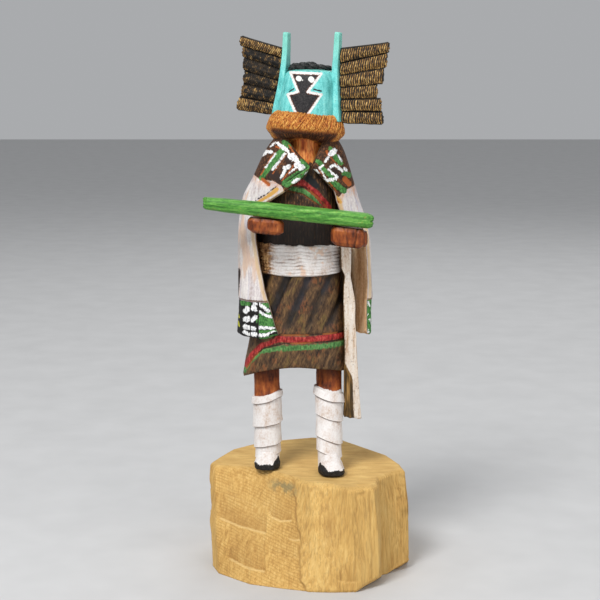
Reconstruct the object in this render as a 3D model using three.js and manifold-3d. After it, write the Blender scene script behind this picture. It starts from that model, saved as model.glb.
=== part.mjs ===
// A carved and painted kachina doll on a rough block of cottonwood root: a masked woman with crow
// wings at her head, in a dark dress, a white sash and an embroidered shawl, who holds a bundle of
// green yucca blades across both fists.
// Millimetres, +Z up. The doll faces -Y, so her right hand is on the -X side.
// The origin is in the block's underside, straight below the middle of its top.
import * as THREE from "three";
import { mergeVertices } from "three/addons/utils/BufferGeometryUtils.js";
import Module from "manifold-3d";

const wasm = await Module();
wasm.setup();

// ---- Driving dimensions ------------------------------------------------------------------------

const glueGap = 0.3; // left between two pieces that touch
const thinnestFacet = 0.006; // joins and cuts leave none thinner

const block = {
  height: 30,
  rim: 1, // how far the worn top edge is rounded in
  // Corners from the front, anticlockwise seen from above: [top x, top y, foot x, foot y].
  corners: [
    [6.2, -21.2, 8, -29.3],
    [10.9, -25.9, 13.6, -28.9],
    [18.2, -23.7, 20.4, -24.6],
    [19.9, -19.2, 21.3, -19.2],
    [20.7, -14.2, 21.6, -14.8],
    [25.3, -8.4, 26.4, -12.4],
    [29.2, -5.6, 30.3, -9.6],
    [28.2, 1, 30.1, -1],
    [24.8, 11.4, 27.4, 11],
    [14.7, 25.8, 16.4, 25.6],
    [10.8, 31.2, 11, 30.4],
    [1.4, 34.2, 1, 33.2],
    [-8.5, 30.6, -8.7, 30.6],
    [-17.8, 25.8, -18, 26],
    [-24.8, 18.5, -25, 19],
    [-28.6, 9, -28.4, 8],
    [-30.7, 2.6, -29.4, -6],
    [-28.8, -0.6, -27.2, -13.4],
    [-16.9, -2.6, -17.4, -22.8],
    [-9.6, -9, -8, -26.4],
    [-3.6, -15.4, 0.2, -28.9],
    [-0.2, -19.8, 3.4, -29.2],
  ],
  chop: { heading: -34, from: 27.1, slope: 0.85 }, // the cut under the front right corner, in degrees and mm
};

const figureAt = [-1.8, 0]; // the doll's axis on the block

const legs = [
  {
    ankle: [-10.6, -1.2],
    knee: [-10.9, -0.5],
    toesTurn: -6,
    slant: 0.24,
    // [height, radius] up the leg: each wrap of the legging ends in a ledge over the one below
    wraps: [[3.4, 3.6, 3.9], [6.6, 3.75, 4.2], [13, 3.95, 4.55], [20.4, 4.25, 4.75], [22.2, 4.6, 4.6]],
  },
  {
    ankle: [7.8, -8.2],
    knee: [7.8, -2],
    toesTurn: 14,
    slant: -0.3,
    wraps: [[5.2, 3.45, 3.8], [9.3, 3.65, 4.05], [15.7, 3.85, 4.2], [21.2, 4.15, 4.75], [23.6, 4.6, 4.6]],
  },
];
const thighRadius = 3.85;
const foot = { halfWidth: 3.9, halfLength: 5.2, sole: 1.7, instep: 5.5, ahead: 1.9 };

const dress = {
  hem: 29.6,
  top: 93,
  middleX: [[28, -2.6], [41, -1.5], [59, -0.9], [69, -1.1], [93, 0.6]],
  halfWidth: [[28, 15.5], [41, 14.3], [59, 11.8], [69, 12], [80, 10.4], [88, 9], [93, 7]],
  halfDepth: [[28, 9.6], [41, 9.2], [59, 8.2], [69, 8], [80, 7.9], [88, 7.4], [93, 6]],
  foldSpacing: 6.3,
  foldLean: 0.46, // sideways run of a fold for each millimetre of height
  foldDepth: 0.75,
};

const sash = { bottom: 59.1, top: 68.6, proud: 0.75, cords: 4, groove: 0.4 };

// The sash's hanging end: [height, left x, right x, front y]
const sashEnd = {
  back: 1.2,
  stations: [
    [67.4, 10.9, 14, -7.6],
    [61, 11.1, 14, -7.4],
    [58.6, 12.2, 13.9, -6.4],
    [55.5, 11.9, 14.5, -6.8],
    [51.6, 11.8, 15.2, -6.6],
    [39, 12.3, 15.8, -6.4],
    [27, 12.3, 16.5, -5.8],
    [15.2, 12.2, 17.4, -5.2],
  ],
  ridge: 0.52, // where its front ridge runs, as a share of the width
};

const shawl = {
  heights: [40.4, 46, 53, 62, 70, 76, 82, 87, 92, 96, 99.2],
  middleX: [[40, 0.3], [54, 0.8], [69, 0.5], [76, -0.2], [82, -0.7], [87, -0.2], [92, 0.2], [99, 0.7]],
  middleY: [[40, 0.5], [60, 0.5], [76, 0], [87, -0.3], [99, -0.5]],
  halfWidth: [
    [40, 20.6], [54, 20.1], [69, 19.8], [76, 18.7], [82, 17], [87, 14.9], [92, 13], [96, 11.2], [99.2, 9],
  ],
  halfDepth: [[40, 11.6], [60, 11.2], [76, 10.8], [87, 10], [92, 9.3], [96, 8.2], [99.2, 6.8]],
  inside: { thickness: 1.9, top: 79, back: 4 }, // the hollow between its hanging ends and the dress
  swing: 5, // how far its left end closes in towards the back, so that its lining shows from the front
  leftEdge: { y: -4.2, x: 13.6 }, // the front edge of its left end, and where its lining starts
  // The outline of its front opening, seen from the front: [x, z], from the breast down its right
  // edge, then from the breast down its left edge as far as the sleeve.
  openingRight: [
    [2.1, 90.3], [-1.2, 86.8], [-5.4, 83.8], [-10, 81], [-13.6, 78.6], [-15, 74], [-14.8, 69.5], [-13.6, 62],
    [-12.1, 55], [-10.9, 51.2], [-7.9, 41.6], [-7.3, 38],
  ],
  openingLeft: [[3, 90.3], [5.4, 88.2], [9.6, 84], [11.2, 78.4], [12.6, 75.6]],
  throat: [[2.4, 91.1], [6, 97.4], [8, 102], [-7, 102], [-4.9, 98.2], [-1.6, 94.6]],
  foldDepth: 0.4,
};

const neck = { radius: 4.6, middle: [1, -0.9], bottom: 86, top: 101 };

const fists = [
  { middle: [-10.8, -14.6, 74.3], half: [5.2, 3, 2.2], elbow: [-13.4, -3, 75], wrist: [-12.2, -13, 74.3] },
  { middle: [12.9, -15.4, 71.2], half: [4.9, 3, 2.8], elbow: [14.8, -3, 72.4], wrist: [14.2, -13.5, 71.4] },
];
const forearmRadius = 2.1;
const thumb = { middle: [16.6, -14.2, 70.7], half: [1.9, 2.4, 2.2] };

const bundle = {
  ends: [[-28.5, -14.7, 80.9], [19.8, -17, 75.9]],
  halfHeight: 2.2,
  halfDepth: 2.6,
};

// The head is tipped and turned as one about the middle of its ruff.
const head = { pivot: [0.75, -0.5, 101.1], turn: -16, tip: 4.5 };
const mask = {
  middle: [0.2, 0],
  radius: [[-2, 8.8], [4, 8.7], [12, 8], [15.6, 7.4], [17.1, 6.6], [17.6, 5]],
  slant: 0.07, // how much its crown rises towards her left
};
const ruff = {
  locks: 34,
  // [radius, height] round the section, from under the chin and outwards
  section: [[4.2, -3.4], [7.6, -4], [10.2, -3], [11.4, -0.6], [11.3, 1.6], [10.2, 4], [8.6, 5.3], [6.4, 5.4]],
};
const uprights = [
  {
    name: "upright_right",
    side: -1,
    x: [[3.4, -9], [17, -7.75], [28.4, -8.05]],
    width: [[3.4, 2.1], [28.4, 1.6]],
  },
  {
    name: "upright_left",
    side: 1,
    x: [[3.4, 9.6], [17, 7.95], [28.4, 7.5]],
    width: [[3.4, 2.2], [28.4, 1.7]],
  },
];
const uprightDepth = [[3.4, 6.2], [17, 5], [28.4, 3.2]];

// Feathers from the lowest up: [root's lower edge, tip's lower edge, tip's reach from the upright]
const wings = [
  {
    name: "wing_right",
    side: -1,
    rootTop: 23.2,
    tipTop: 25.8,
    feathers: [
      [3.7, 4.1, 11.6], [7.2, 8.2, 11], [10.6, 12, 11.2], [13.8, 16, 11.7], [17, 19.7, 12.3], [20.4, 23, 13.1],
    ],
  },
  {
    name: "wing_left",
    side: 1,
    rootTop: 24.4,
    tipTop: 27,
    feathers: [
      [3, 3.5, 12.3], [6.4, 7.3, 12], [9.8, 11, 11], [13.2, 15.2, 12.9], [16.6, 19.8, 13.8], [20.2, 24.2, 14.3],
    ],
  },
];
const feather = { back: 0.7, edge: 0.65, crown: 1.05, overlap: 0.25 };

const tuft = { locks: 7, middle: [-0.1, 0.2, 17.95], half: [5.8, 5, 2.3] };

// ---- Shape tools -------------------------------------------------------------------------------

const degrees = Math.PI / 180;

// A value from a short list of [place, value] pairs, on a smooth curve through them.
function along(pairs, place) {
  const last = pairs.length - 1;
  if (place <= pairs[0][0]) return pairs[0][1];
  if (place >= pairs[last][0]) return pairs[last][1];
  const i = pairs.findIndex(([at]) => at > place) - 1;
  const slope = (k) => {
    const [a, b] = [pairs[Math.max(k - 1, 0)], pairs[Math.min(k + 1, last)]];
    return (b[1] - a[1]) / (b[0] - a[0]);
  };
  const width = pairs[i + 1][0] - pairs[i][0];
  const t = (place - pairs[i][0]) / width;
  const start = pairs[i][1] * (1 + 2 * t) + width * slope(i) * t;
  const end = pairs[i + 1][1] * (3 - 2 * t) - width * slope(i + 1) * (1 - t);
  return start * (1 - t) ** 2 + end * t ** 2;
}

// A point on an oval of two half sizes. Powers over 2 square its shoulders.
function oval(angle, halfX, halfY, power = 2) {
  const [c, s] = [Math.cos(angle), Math.sin(angle)];
  const reach = (Math.abs(c) ** power + Math.abs(s) ** power) ** (-1 / power);
  return [halfX * c * reach, halfY * s * reach];
}

function evenly(from, to, steps) {
  return Array.from({ length: steps + 1 }, (_, i) => from + ((to - from) * i) / steps);
}

// Which of a loft's sides an angle is on, counted anticlockwise from the front.
function stepRound(angle, sides) {
  return (Math.round((angle / (2 * Math.PI) + 0.25) * sides) + sides) % sides;
}

// A geometry with only positions, each shared vertex stored once.
function closed(geometry) {
  geometry.deleteAttribute("normal");
  geometry.deleteAttribute("uv");
  return mergeVertices(geometry, 1e-4);
}

function placeEach(geometry, place) {
  const position = geometry.getAttribute("position");
  const at = new THREE.Vector3();
  for (let i = 0; i < position.count; i++) {
    position.setXYZ(i, ...place(at.fromBufferAttribute(position, i)));
  }
  return closed(geometry);
}

// A closed body from a capped cylinder. point(station, angle, share) gives each place:
// share is 1 on the wall and 0 in the middle of a cap.
function lofted(sides, stations, point) {
  const steps = stations.length - 1;
  const cylinder = new THREE.CylinderGeometry(1, 1, 1, sides, steps);
  return placeEach(cylinder, ({ x, y, z }) => {
    const station = stations[Math.round((y + 0.5) * steps)];
    return point(station, Math.atan2(-z, x), Math.round(Math.hypot(x, z)));
  });
}

// A closed board from a box. point(u, v, front) gives each place: u to the right, v up.
function boarded(across, up, point) {
  const box = new THREE.BoxGeometry(1, 1, 1, across, up, 1);
  return placeEach(box, ({ x, y, z }) => point(x + 0.5, y + 0.5, z > 0));
}

// An outline in the XZ plane, thickened from one depth to another.
function cutOut(outline, front, back) {
  const shape = new THREE.Shape(outline.map(([x, z]) => new THREE.Vector2(x, z)));
  const geometry = new THREE.ExtrudeGeometry(shape, { depth: back - front, bevelEnabled: false });
  geometry.rotateX(Math.PI / 2);
  geometry.translate(0, back, 0);
  return closed(geometry);
}

function solid(geometry) {
  const mesh = new wasm.Mesh({
    numProp: 3,
    vertProperties: new Float32Array(geometry.getAttribute("position").array),
    triVerts: new Uint32Array(geometry.index.array),
    tolerance: thinnestFacet,
  });
  return new wasm.Manifold(mesh);
}

function geometryOf(manifold) {
  const { vertProperties, triVerts } = manifold.getMesh();
  const geometry = new THREE.BufferGeometry();
  geometry.setAttribute("position", new THREE.BufferAttribute(new Float32Array(vertProperties), 3));
  geometry.setIndex(new THREE.BufferAttribute(new Uint32Array(triVerts), 1));
  return geometry;
}

function united(geometries) {
  return geometries.map(solid).reduce((whole, piece) => whole.add(piece));
}

function piece(name, geometry, material) {
  const mesh = new THREE.Mesh(geometry, material);
  mesh.name = name;
  return mesh;
}

// ---- The block ---------------------------------------------------------------------------------

function blockGeometry() {
  const { corners, height, rim, chop } = block;
  const heights = [0, 8, 16, 23, height - rim * 1.3, height - rim * 0.4, height];
  const wall = lofted(corners.length, heights, (z, angle, share) => {
    const corner = stepRound(angle, corners.length);
    const [topX, topY, footX, footY] = corners[corner];
    const up = z / height;
    const worn = Math.max(0, z - (height - rim * 1.3)) / (rim * 1.3);
    const bulge = 0.012 * Math.sin(Math.PI * up);
    const size = (1 + bulge - (rim * worn ** 2) / 28) * share;
    return [(footX + (topX - footX) * up) * size, (footY + (topY - footY) * up) * size, z];
  });
  const cutter = new THREE.BoxGeometry(80, 120, 40);
  cutter.translate(40, 0, -20);
  cutter.rotateY(-Math.atan(chop.slope));
  cutter.translate(chop.from, 0, 0);
  cutter.rotateZ(chop.heading * degrees);
  return geometryOf(solid(wall).subtract(solid(closed(cutter))));
}

// ---- The carved figure -------------------------------------------------------------------------

function legGeometry({ ankle, knee, slant, wraps }) {
  const kneeHeight = 23;
  const ledges = wraps.flatMap(([height, under, over]) => [
    { height, radius: under },
    { height, radius: over },
  ]);
  const stations = [
    { height: 1, radius: 3.3 },
    ...ledges.slice(0, -1),
    { height: wraps.at(-1)[0], radius: thighRadius },
    { height: 33, radius: thighRadius },
  ];
  return lofted(16, stations, ({ height, radius }, angle, share) => {
    const up = Math.min(height / kneeHeight, 1.3);
    const tilt = height > 2 && height < 24 ? slant * radius * Math.cos(angle) : 0;
    return [
      ankle[0] + (knee[0] - ankle[0]) * up + radius * Math.cos(angle) * share,
      ankle[1] + (knee[1] - ankle[1]) * up + radius * Math.sin(angle) * share,
      height + tilt * share,
    ];
  });
}

function footGeometry({ ankle, toesTurn }) {
  const { halfWidth, halfLength, sole, instep, ahead } = foot;
  const stations = [
    [0, 1, 0],
    [sole, 1, 0],
    [sole, 0.93, 0],
    [3, 0.86, 0.5],
    [4.4, 0.72, 1.5],
    [instep, 0.6, 2],
  ];
  const geometry = lofted(14, stations, ([z, size, back], angle, share) => {
    const [x, y] = oval(angle, halfWidth * size, halfLength * size, 2.3);
    const toes = y < 0 ? 1 : 0.9; // the heel is a little narrower than the toes
    return [x * toes * share, (y + back) * share + back * (1 - share) - ahead, z];
  });
  geometry.rotateZ(toesTurn * degrees);
  geometry.translate(ankle[0], ankle[1], 0);
  return geometry;
}

// How far a slanting drape fold is cut into the skirt at a place on its front.
function drape(x, z) {
  const wave = 0.5 + 0.5 * Math.cos((2 * Math.PI * (x - dress.foldLean * z)) / dress.foldSpacing);
  const fade = THREE.MathUtils.smoothstep(z, 40, 45) * (1 - THREE.MathUtils.smoothstep(z, 56, 60));
  return dress.foldDepth * wave ** 2 * fade;
}

function hemHeight(angle) {
  const front = Math.max(0, -Math.sin(angle)) ** 2;
  const right = Math.max(0, -Math.cos(angle)) ** 3;
  return dress.hem + 1.8 * front - 2.2 * right;
}

function dressPoint(z, angle, proud = 0) {
  const [x, y] = oval(angle, along(dress.halfWidth, z) + proud, along(dress.halfDepth, z) + proud, 2.3);
  return [along(dress.middleX, z) + x, y, z];
}

function dressGeometry() {
  const stations = [0, ...evenly(36, 58, 7), 61, 68, 76, 84, 89, dress.top];
  return lofted(40, stations, (z, evenAngle, share) => {
    const angle = evenAngle - 0.5 * Math.cos(evenAngle); // more faces at the front, where the folds are
    if (!share) return z ? [along(dress.middleX, z), 0, z] : [-2, 0, dress.hem + 1.2];
    const height = z || hemHeight(angle);
    const [x, y] = dressPoint(height, angle);
    const cut = y < 0 ? 1 - drape(x, height) / Math.hypot(x, y) : 1;
    return [x * cut, y * cut, height];
  });
}

function sashGeometry() {
  const { bottom, top, proud, cords, groove } = sash;
  const cord = (top - bottom) / cords;
  const stations = [{ z: bottom, cut: proud }];
  for (let i = 0; i < cords; i++) {
    if (i > 0) stations.push({ z: bottom + cord * i, cut: groove });
    stations.push({ z: bottom + cord * (i + 0.22), cut: 0 });
    stations.push({ z: bottom + cord * (i + 0.78), cut: 0 });
  }
  stations.push({ z: top, cut: proud });
  return lofted(24, stations, ({ z, cut }, angle, share) => {
    const droop = 0.9 * Math.max(0, Math.cos(angle)) * ((z - bottom) / (top - bottom));
    if (!share) return [along(dress.middleX, z), 0, z];
    const [x, y] = dressPoint(z, angle, proud - cut);
    return [x, y, z - droop];
  });
}

function sashEndGeometry() {
  const { stations, back, ridge } = sashEnd;
  const rising = [...stations].reverse();
  return lofted(6, rising, ([z, left, right, front], angle, share) => {
    const middle = left + (right - left) * ridge;
    const outline = [
      [middle, front],
      [right, front + 0.7],
      [right, back],
      [middle, back],
      [left, back],
      [left, front + 2.2],
    ];
    if (!share) return [middle, (front + back) / 2, z];
    return [...outline[stepRound(angle, 6)], z];
  });
}

// A place on the shawl's outside, or the given depth inside it.
function shawlPoint(z, angle, depth = 0) {
  const halfWidth = along(shawl.halfWidth, z) - depth;
  const [x, y] = oval(angle, halfWidth, along(shawl.halfDepth, z) - depth, 2.45);
  const leftSide = Math.max(0, Math.cos(angle)) * (1 - THREE.MathUtils.smoothstep(z, 72, 84));
  const swing = shawl.swing * leftSide * THREE.MathUtils.smoothstep(Math.sin(angle), -0.3, 0.5);
  return [along(shawl.middleX, z) + x - swing, along(shawl.middleY, z) + y];
}

// The shawl hangs round the back and over both arms. Its two front edges meet at the breast.
function shawlGeometry() {
  const { heights, inside, foldDepth, openingRight, openingLeft, throat, leftEdge } = shawl;
  const outside = lofted(40, heights, (z, angle, share) => {
    const behind = THREE.MathUtils.smoothstep(Math.sin(angle), -0.15, 0.6);
    const loose = 1 - THREE.MathUtils.smoothstep(z, 60, 90);
    const [x, y] = shawlPoint(z, angle, foldDepth * (1 - Math.cos(14 * angle)) * behind * loose);
    return [x * share, y * share, z];
  });
  const hollow = lofted(28, [36, 46, 56, 66, inside.top], (z, angle, share) => {
    const [x, y] = shawlPoint(Math.max(z, heights[0]), angle, inside.thickness);
    const flatBack = Math.min(y, inside.back + 0.1 * y);
    return [x * share, flatBack * share, z];
  });
  const opening = (x) => [...openingRight, [x, 38], [x, 75], ...openingLeft.toReversed()];
  const cuts = [
    hollow,
    cutOut(throat, -30, 0),
    cutOut(opening(30), -30, leftEdge.y),
    cutOut(opening(leftEdge.x), -30, 0),
  ];
  return geometryOf(cuts.map(solid).reduce((cloth, cut) => cloth.subtract(cut), solid(outside)));
}

// The upper arm under the shawl, from the shoulder down to the elbow.
function upperArmGeometry({ elbow }) {
  const side = Math.sign(elbow[0]);
  const stations = [[elbow[2] - 3.2, 2], [elbow[2], 3.4], [82, 3.6], [89, 3.2], [93, 2]];
  return lofted(10, stations, ([z, radius], angle, share) => {
    const up = (z - elbow[2]) / (93 - elbow[2]);
    const x = elbow[0] - side * (Math.abs(elbow[0]) - 7.5) * Math.max(0, up);
    return [x + radius * Math.cos(angle) * share, elbow[1] + 1.6 + radius * Math.sin(angle) * share, z];
  });
}

function forearmGeometry({ elbow, wrist }) {
  const [from, to] = [new THREE.Vector3(...elbow), new THREE.Vector3(...wrist)];
  const stations = [[0, 2.9], [0.5, 2.6], [0.93, forearmRadius], [1, forearmRadius - 0.9]];
  return lofted(10, stations, ([t, radius], angle, share) => {
    const middle = new THREE.Vector3().lerpVectors(from, to, t);
    const reach = radius * share;
    return [middle.x + reach * Math.cos(angle), middle.y, middle.z + reach * Math.sin(angle)];
  });
}

// A whittled fist: a block with wide chamfers all round, its top along the bundle it holds.
function fistGeometry({ middle, half }) {
  const stations = [[-1, 0.72], [-0.55, 1], [0.6, 1], [1, 0.86]];
  const [start, end] = bundle.ends;
  const slope = (end[2] - start[2]) / (end[0] - start[0]);
  const geometry = lofted(12, stations, ([t, size], angle, share) => {
    const [x, y] = oval(angle, half[0] * size, half[1] * size, 3.2);
    return [x * share, y * share, t * half[2] + slope * x * share];
  });
  geometry.translate(...middle);
  return geometry;
}

function neckGeometry() {
  const { radius, middle, bottom, top } = neck;
  const stations = [[bottom, 6.4], [93, 5.4], [97, radius], [top, radius + 0.6]];
  return lofted(14, stations, ([z, reach], angle, share) => {
    return [middle[0] + reach * Math.cos(angle) * share, middle[1] + reach * Math.sin(angle) * share, z];
  });
}

function intoHead(geometry) {
  const turned = new THREE.Euler(0, head.tip * degrees, head.turn * degrees);
  return geometry.applyMatrix4(
    new THREE.Matrix4().makeRotationFromEuler(turned).setPosition(...head.pivot),
  );
}

function maskGeometry() {
  const heights = mask.radius.map(([z]) => z);
  return lofted(28, heights, (z, angle, share) => {
    const radius = along(mask.radius, z);
    const [x, y] = oval(angle, radius * share, radius * share, 2.3);
    return [mask.middle[0] + x, mask.middle[1] + y, z + (mask.slant * x * z) / 17.6];
  });
}

// A ring of fur: its section is turned round the neck and nicked between locks.
function ruffGeometry() {
  const { section, locks } = ruff;
  const profile = [...section, section[0]].map(([r, z]) => new THREE.Vector2(r, z));
  const ring = new THREE.LatheGeometry(profile, locks);
  ring.rotateX(Math.PI / 2);
  return placeEach(ring, ({ x, y, z }) => {
    const outer = THREE.MathUtils.smoothstep(Math.hypot(x, y), 6, 9);
    const lock = Math.cos((locks / 2) * Math.atan2(y, x)) * outer;
    return [x * (1 + 0.022 * lock), y * (1 + 0.022 * lock), z * (1 + 0.06 * lock)];
  });
}

function uprightGeometry({ x, width }, spare = 0) {
  const heights = [3.4 - spare, 10, 17, 28.4 + spare];
  return lofted(4, heights, (z, angle, share) => {
    const sideways = (along(width, z) / 2 + spare) * Math.sign(Math.cos(angle + Math.PI / 4));
    const deep = (along(uprightDepth, z) / 2 + spare) * Math.sign(Math.sin(angle + Math.PI / 4));
    return [along(x, z) + sideways * share, deep * share, z];
  });
}

function figureGeometry() {
  const parts = [
    ...legs.map(legGeometry),
    ...legs.map(footGeometry),
    dressGeometry(),
    sashGeometry(),
    sashEndGeometry(),
    shawlGeometry(),
    ...fists.map(upperArmGeometry),
    ...fists.map(forearmGeometry),
    ...[...fists, thumb].map(fistGeometry),
    neckGeometry(),
    intoHead(maskGeometry()),
    intoHead(ruffGeometry()),
  ];
  const notches = uprights.map((upright) => solid(intoHead(uprightGeometry(upright, glueGap))));
  return geometryOf(notches.reduce((whole, notch) => whole.subtract(notch), united(parts)));
}

// ---- The pieces glued to the head --------------------------------------------------------------

// One wing: a fan of feathers, each a flat blade with a raised shaft, lapped like boards.
function wingGeometry({ side, rootTop, tipTop, feathers }) {
  const upright = uprights.find((slat) => slat.side === side);
  const blades = feathers.map(([rootLow, tipLow, reach], i) => {
    const [rootHigh, tipHigh] = feathers[i + 1] ?? [rootTop, tipTop];
    const lift = 0.28 * (i % 2);
    return boarded(3, 2, (u, v, front) => {
      const t = side > 0 ? u : 1 - u;
      const low = rootLow + (tipLow - rootLow) * t;
      const high = rootHigh + (tipHigh - rootHigh) * t + feather.overlap;
      const z = low + (high - low) * v;
      const root = along(upright.x, z) + side * (along(upright.width, z) / 2 + glueGap);
      const rounding = t === 1 ? 0.7 * (2 * v - 1) ** 2 : 0;
      const raised = (v === 0.5 ? feather.crown : feather.edge) + lift;
      return [root + side * (reach * t - rounding), front ? -raised : feather.back, z];
    });
  });
  return geometryOf(united(blades));
}

// Black down on the crown: a low mound of rolled locks.
function tuftGeometry() {
  const { locks, middle, half } = tuft;
  return lofted(21, [0, 0.25, 0.6, 0.85, 1], (t, angle, share) => {
    const size = Math.sqrt(1 - 0.86 * t * t);
    const lock = 1 + 0.09 * Math.cos(locks * angle);
    const [x, y] = oval(angle, half[0] * size * lock, half[1] * size * lock, 2.2);
    const bump = share ? 0.25 * Math.cos(locks * angle + 1) * t : 0.2;
    const seat = mask.slant * x * share;
    return [middle[0] + x * share, middle[1] + y * share, middle[2] + half[2] * t + bump + seat];
  });
}

function bundleGeometry() {
  const [start, end] = bundle.ends.map((p) => new THREE.Vector3(...p));
  const stations = [
    [0, 0.62], [0.012, 0.8], [0.12, 0.9], [0.4, 1], [0.7, 1], [0.97, 1], [0.99, 0.86], [1, 0.66],
  ];
  return lofted(14, stations, ([t, size], angle, share) => {
    const [y, z] = oval(angle, bundle.halfDepth * size, bundle.halfHeight * size, 2.8);
    const blade = 1 - 0.05 * (stepRound(angle, 14) % 2);
    const middle = new THREE.Vector3().lerpVectors(start, end, t);
    return [middle.x, middle.y + y * blade * share, middle.z + z * blade * share];
  });
}

// ---- Finishes ----------------------------------------------------------------------------------

const paint = (color, roughness) => new THREE.MeshStandardMaterial({ color, roughness, metalness: 0 });
const bareWood = paint(0xd2a765, 0.8);
const paintedFigure = paint(0x6b5238, 0.65);
const turquoise = paint(0x7dd6d0, 0.55);
const burntFeather = paint(0x3a3022, 0.7);
const blackDown = paint(0x16181a, 0.85);
const yuccaGreen = paint(0x5c9c40, 0.6);

// ---- The doll ----------------------------------------------------------------------------------

const doll = new THREE.Group();
doll.add(piece("block", blockGeometry(), bareWood));

const standing = new THREE.Group();
standing.position.set(...figureAt, block.height + glueGap);
standing.add(piece("figure", figureGeometry(), paintedFigure));
standing.add(piece("yucca_bundle", bundleGeometry(), yuccaGreen));
doll.add(standing);

const crown = new THREE.Group();
crown.position.set(...head.pivot);
crown.rotation.set(0, head.tip * degrees, head.turn * degrees);
for (const upright of uprights) crown.add(piece(upright.name, uprightGeometry(upright), turquoise));
for (const wing of wings) crown.add(piece(wing.name, wingGeometry(wing), burntFeather));
crown.add(piece("hair_tuft", tuftGeometry(), blackDown));
standing.add(crown);

export default doll;
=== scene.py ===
# A carved and painted kachina doll on a block of cottonwood root, dressed over its CAD solids.
# Shapes are worked out in millimetres, in the CAD frame, and stored in metres.
import math
import bpy
import numpy as np
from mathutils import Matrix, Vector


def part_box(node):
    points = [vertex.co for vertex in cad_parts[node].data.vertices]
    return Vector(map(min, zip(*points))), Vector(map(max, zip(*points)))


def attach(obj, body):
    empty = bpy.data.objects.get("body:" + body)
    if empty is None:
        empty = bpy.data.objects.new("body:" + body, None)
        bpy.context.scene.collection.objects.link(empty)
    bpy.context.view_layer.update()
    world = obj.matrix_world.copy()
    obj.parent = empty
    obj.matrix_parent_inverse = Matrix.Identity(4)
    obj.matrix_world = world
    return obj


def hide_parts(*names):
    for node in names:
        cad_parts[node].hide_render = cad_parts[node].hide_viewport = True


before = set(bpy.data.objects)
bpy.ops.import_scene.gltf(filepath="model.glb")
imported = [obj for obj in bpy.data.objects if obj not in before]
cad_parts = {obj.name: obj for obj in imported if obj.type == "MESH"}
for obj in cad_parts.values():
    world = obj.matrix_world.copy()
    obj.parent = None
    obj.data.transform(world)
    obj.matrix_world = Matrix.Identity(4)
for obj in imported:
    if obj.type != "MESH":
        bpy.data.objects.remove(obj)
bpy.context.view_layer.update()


def nodeBox(node):
    # lowest and highest corner of a CAD node, in millimetres
    return [np.array(corner) * 1000 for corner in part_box(node)]


blockLow, blockHigh = nodeBox("block")
standing = np.array([-1.8, 0, nodeBox("figure")[0][2]])  # the doll's axis, where its soles rest


# numbers

def along(pairs, place):
    # a cubic through the [place, value] pairs, whose slope at each is that of the line past its neighbours
    at, value = np.array(pairs, float).T
    slope = np.empty_like(value)
    slope[1:-1] = (value[2:] - value[:-2]) / (at[2:] - at[:-2])
    slope[[0, -1]] = (value[[1, -1]] - value[[0, -2]]) / (at[[1, -1]] - at[[0, -2]])
    place = np.clip(place, at[0], at[-1])
    i = np.clip(np.searchsorted(at, place, side="right") - 1, 0, len(at) - 2)
    width = at[i + 1] - at[i]
    t = (place - at[i]) / width
    start = value[i] * (1 + 2 * t) + width * slope[i] * t
    end = value[i + 1] * (3 - 2 * t) - width * slope[i + 1] * (1 - t)
    return start * (1 - t) ** 2 + end * t ** 2


def rising(value, start, end):
    # 0 below start, 1 above end, and t * t * (3 - 2 * t) between them
    t = np.clip((value - start) / (end - start), 0, 1)
    return t * t * (3 - 2 * t)


def noise(x, y, z, seed=0):
    # random values on a whole-number lattice, blended between its points: from -1 to 1
    place = np.stack(np.broadcast_arrays(x, y, z)).astype(float)
    cell = np.floor(place)
    t = place - cell
    t = t * t * (3 - 2 * t)
    total = 0
    for corner in np.ndindex(2, 2, 2):
        key = sum((cell[i] + corner[i]) * (127.1, 311.7, 74.7)[i] for i in range(3)) + seed * 19.19
        weight = np.prod([t[i] if corner[i] else 1 - t[i] for i in range(3)], axis=0)
        total = total + weight * (2 * ((np.sin(key) * 43758.5453) % 1) - 1)
    return total


def ringNoise(angle, cells, z, seed):
    # noise along a circle whose radius is that many lattice cells, so that it closes on itself
    return noise(cells * np.cos(angle), cells * np.sin(angle), z, seed)


def roughness(x, y, z, seed=0):
    # three layers of noise, each twice as fine and half as strong as the last
    return sum(noise(x * 2 ** i, y * 2 ** i, z * 2 ** i, seed + i) / 2 ** i for i in range(3)) / 1.75


def oval(angle, halfX, halfY, power=2.0):
    # (halfX cos a, halfY sin a) over (|cos a|^power + |sin a|^power)^(1 / power)
    c, s = np.cos(angle), np.sin(angle)
    reach = (np.abs(c) ** power + np.abs(s) ** power) ** (-1 / power)
    return halfX * c * reach, halfY * s * reach


def circle(count):
    # angles once round, as a row
    return np.linspace(0, 2 * np.pi, count, endpoint=False)[None]


def spread(density, count):
    # count places from 0 towards 1, set so that equal steps hold equal shares of the density's sum
    fine = np.linspace(0, 1, 4001)
    total = np.concatenate([[0], np.cumsum((density(fine[1:]) + density(fine[:-1])) / 2)])
    return np.interp(np.arange(count) / count, total / total[-1], fine)


def lineDistance(x, z, lines):
    # distance to the nearest [x, z, x, z, width] stroke, less half its width: below 0 is inside one
    best = np.full(np.shape(x), 9.0)
    for ax, az, bx, bz, width in lines:
        dx, dz = bx - ax, bz - az
        t = np.clip(((x - ax) * dx + (z - az) * dz) / max(dx * dx + dz * dz, 1e-9), 0, 1)
        best = np.minimum(best, np.hypot(x - ax - t * dx, z - az - t * dz) - width / 2)
    return best


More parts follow.
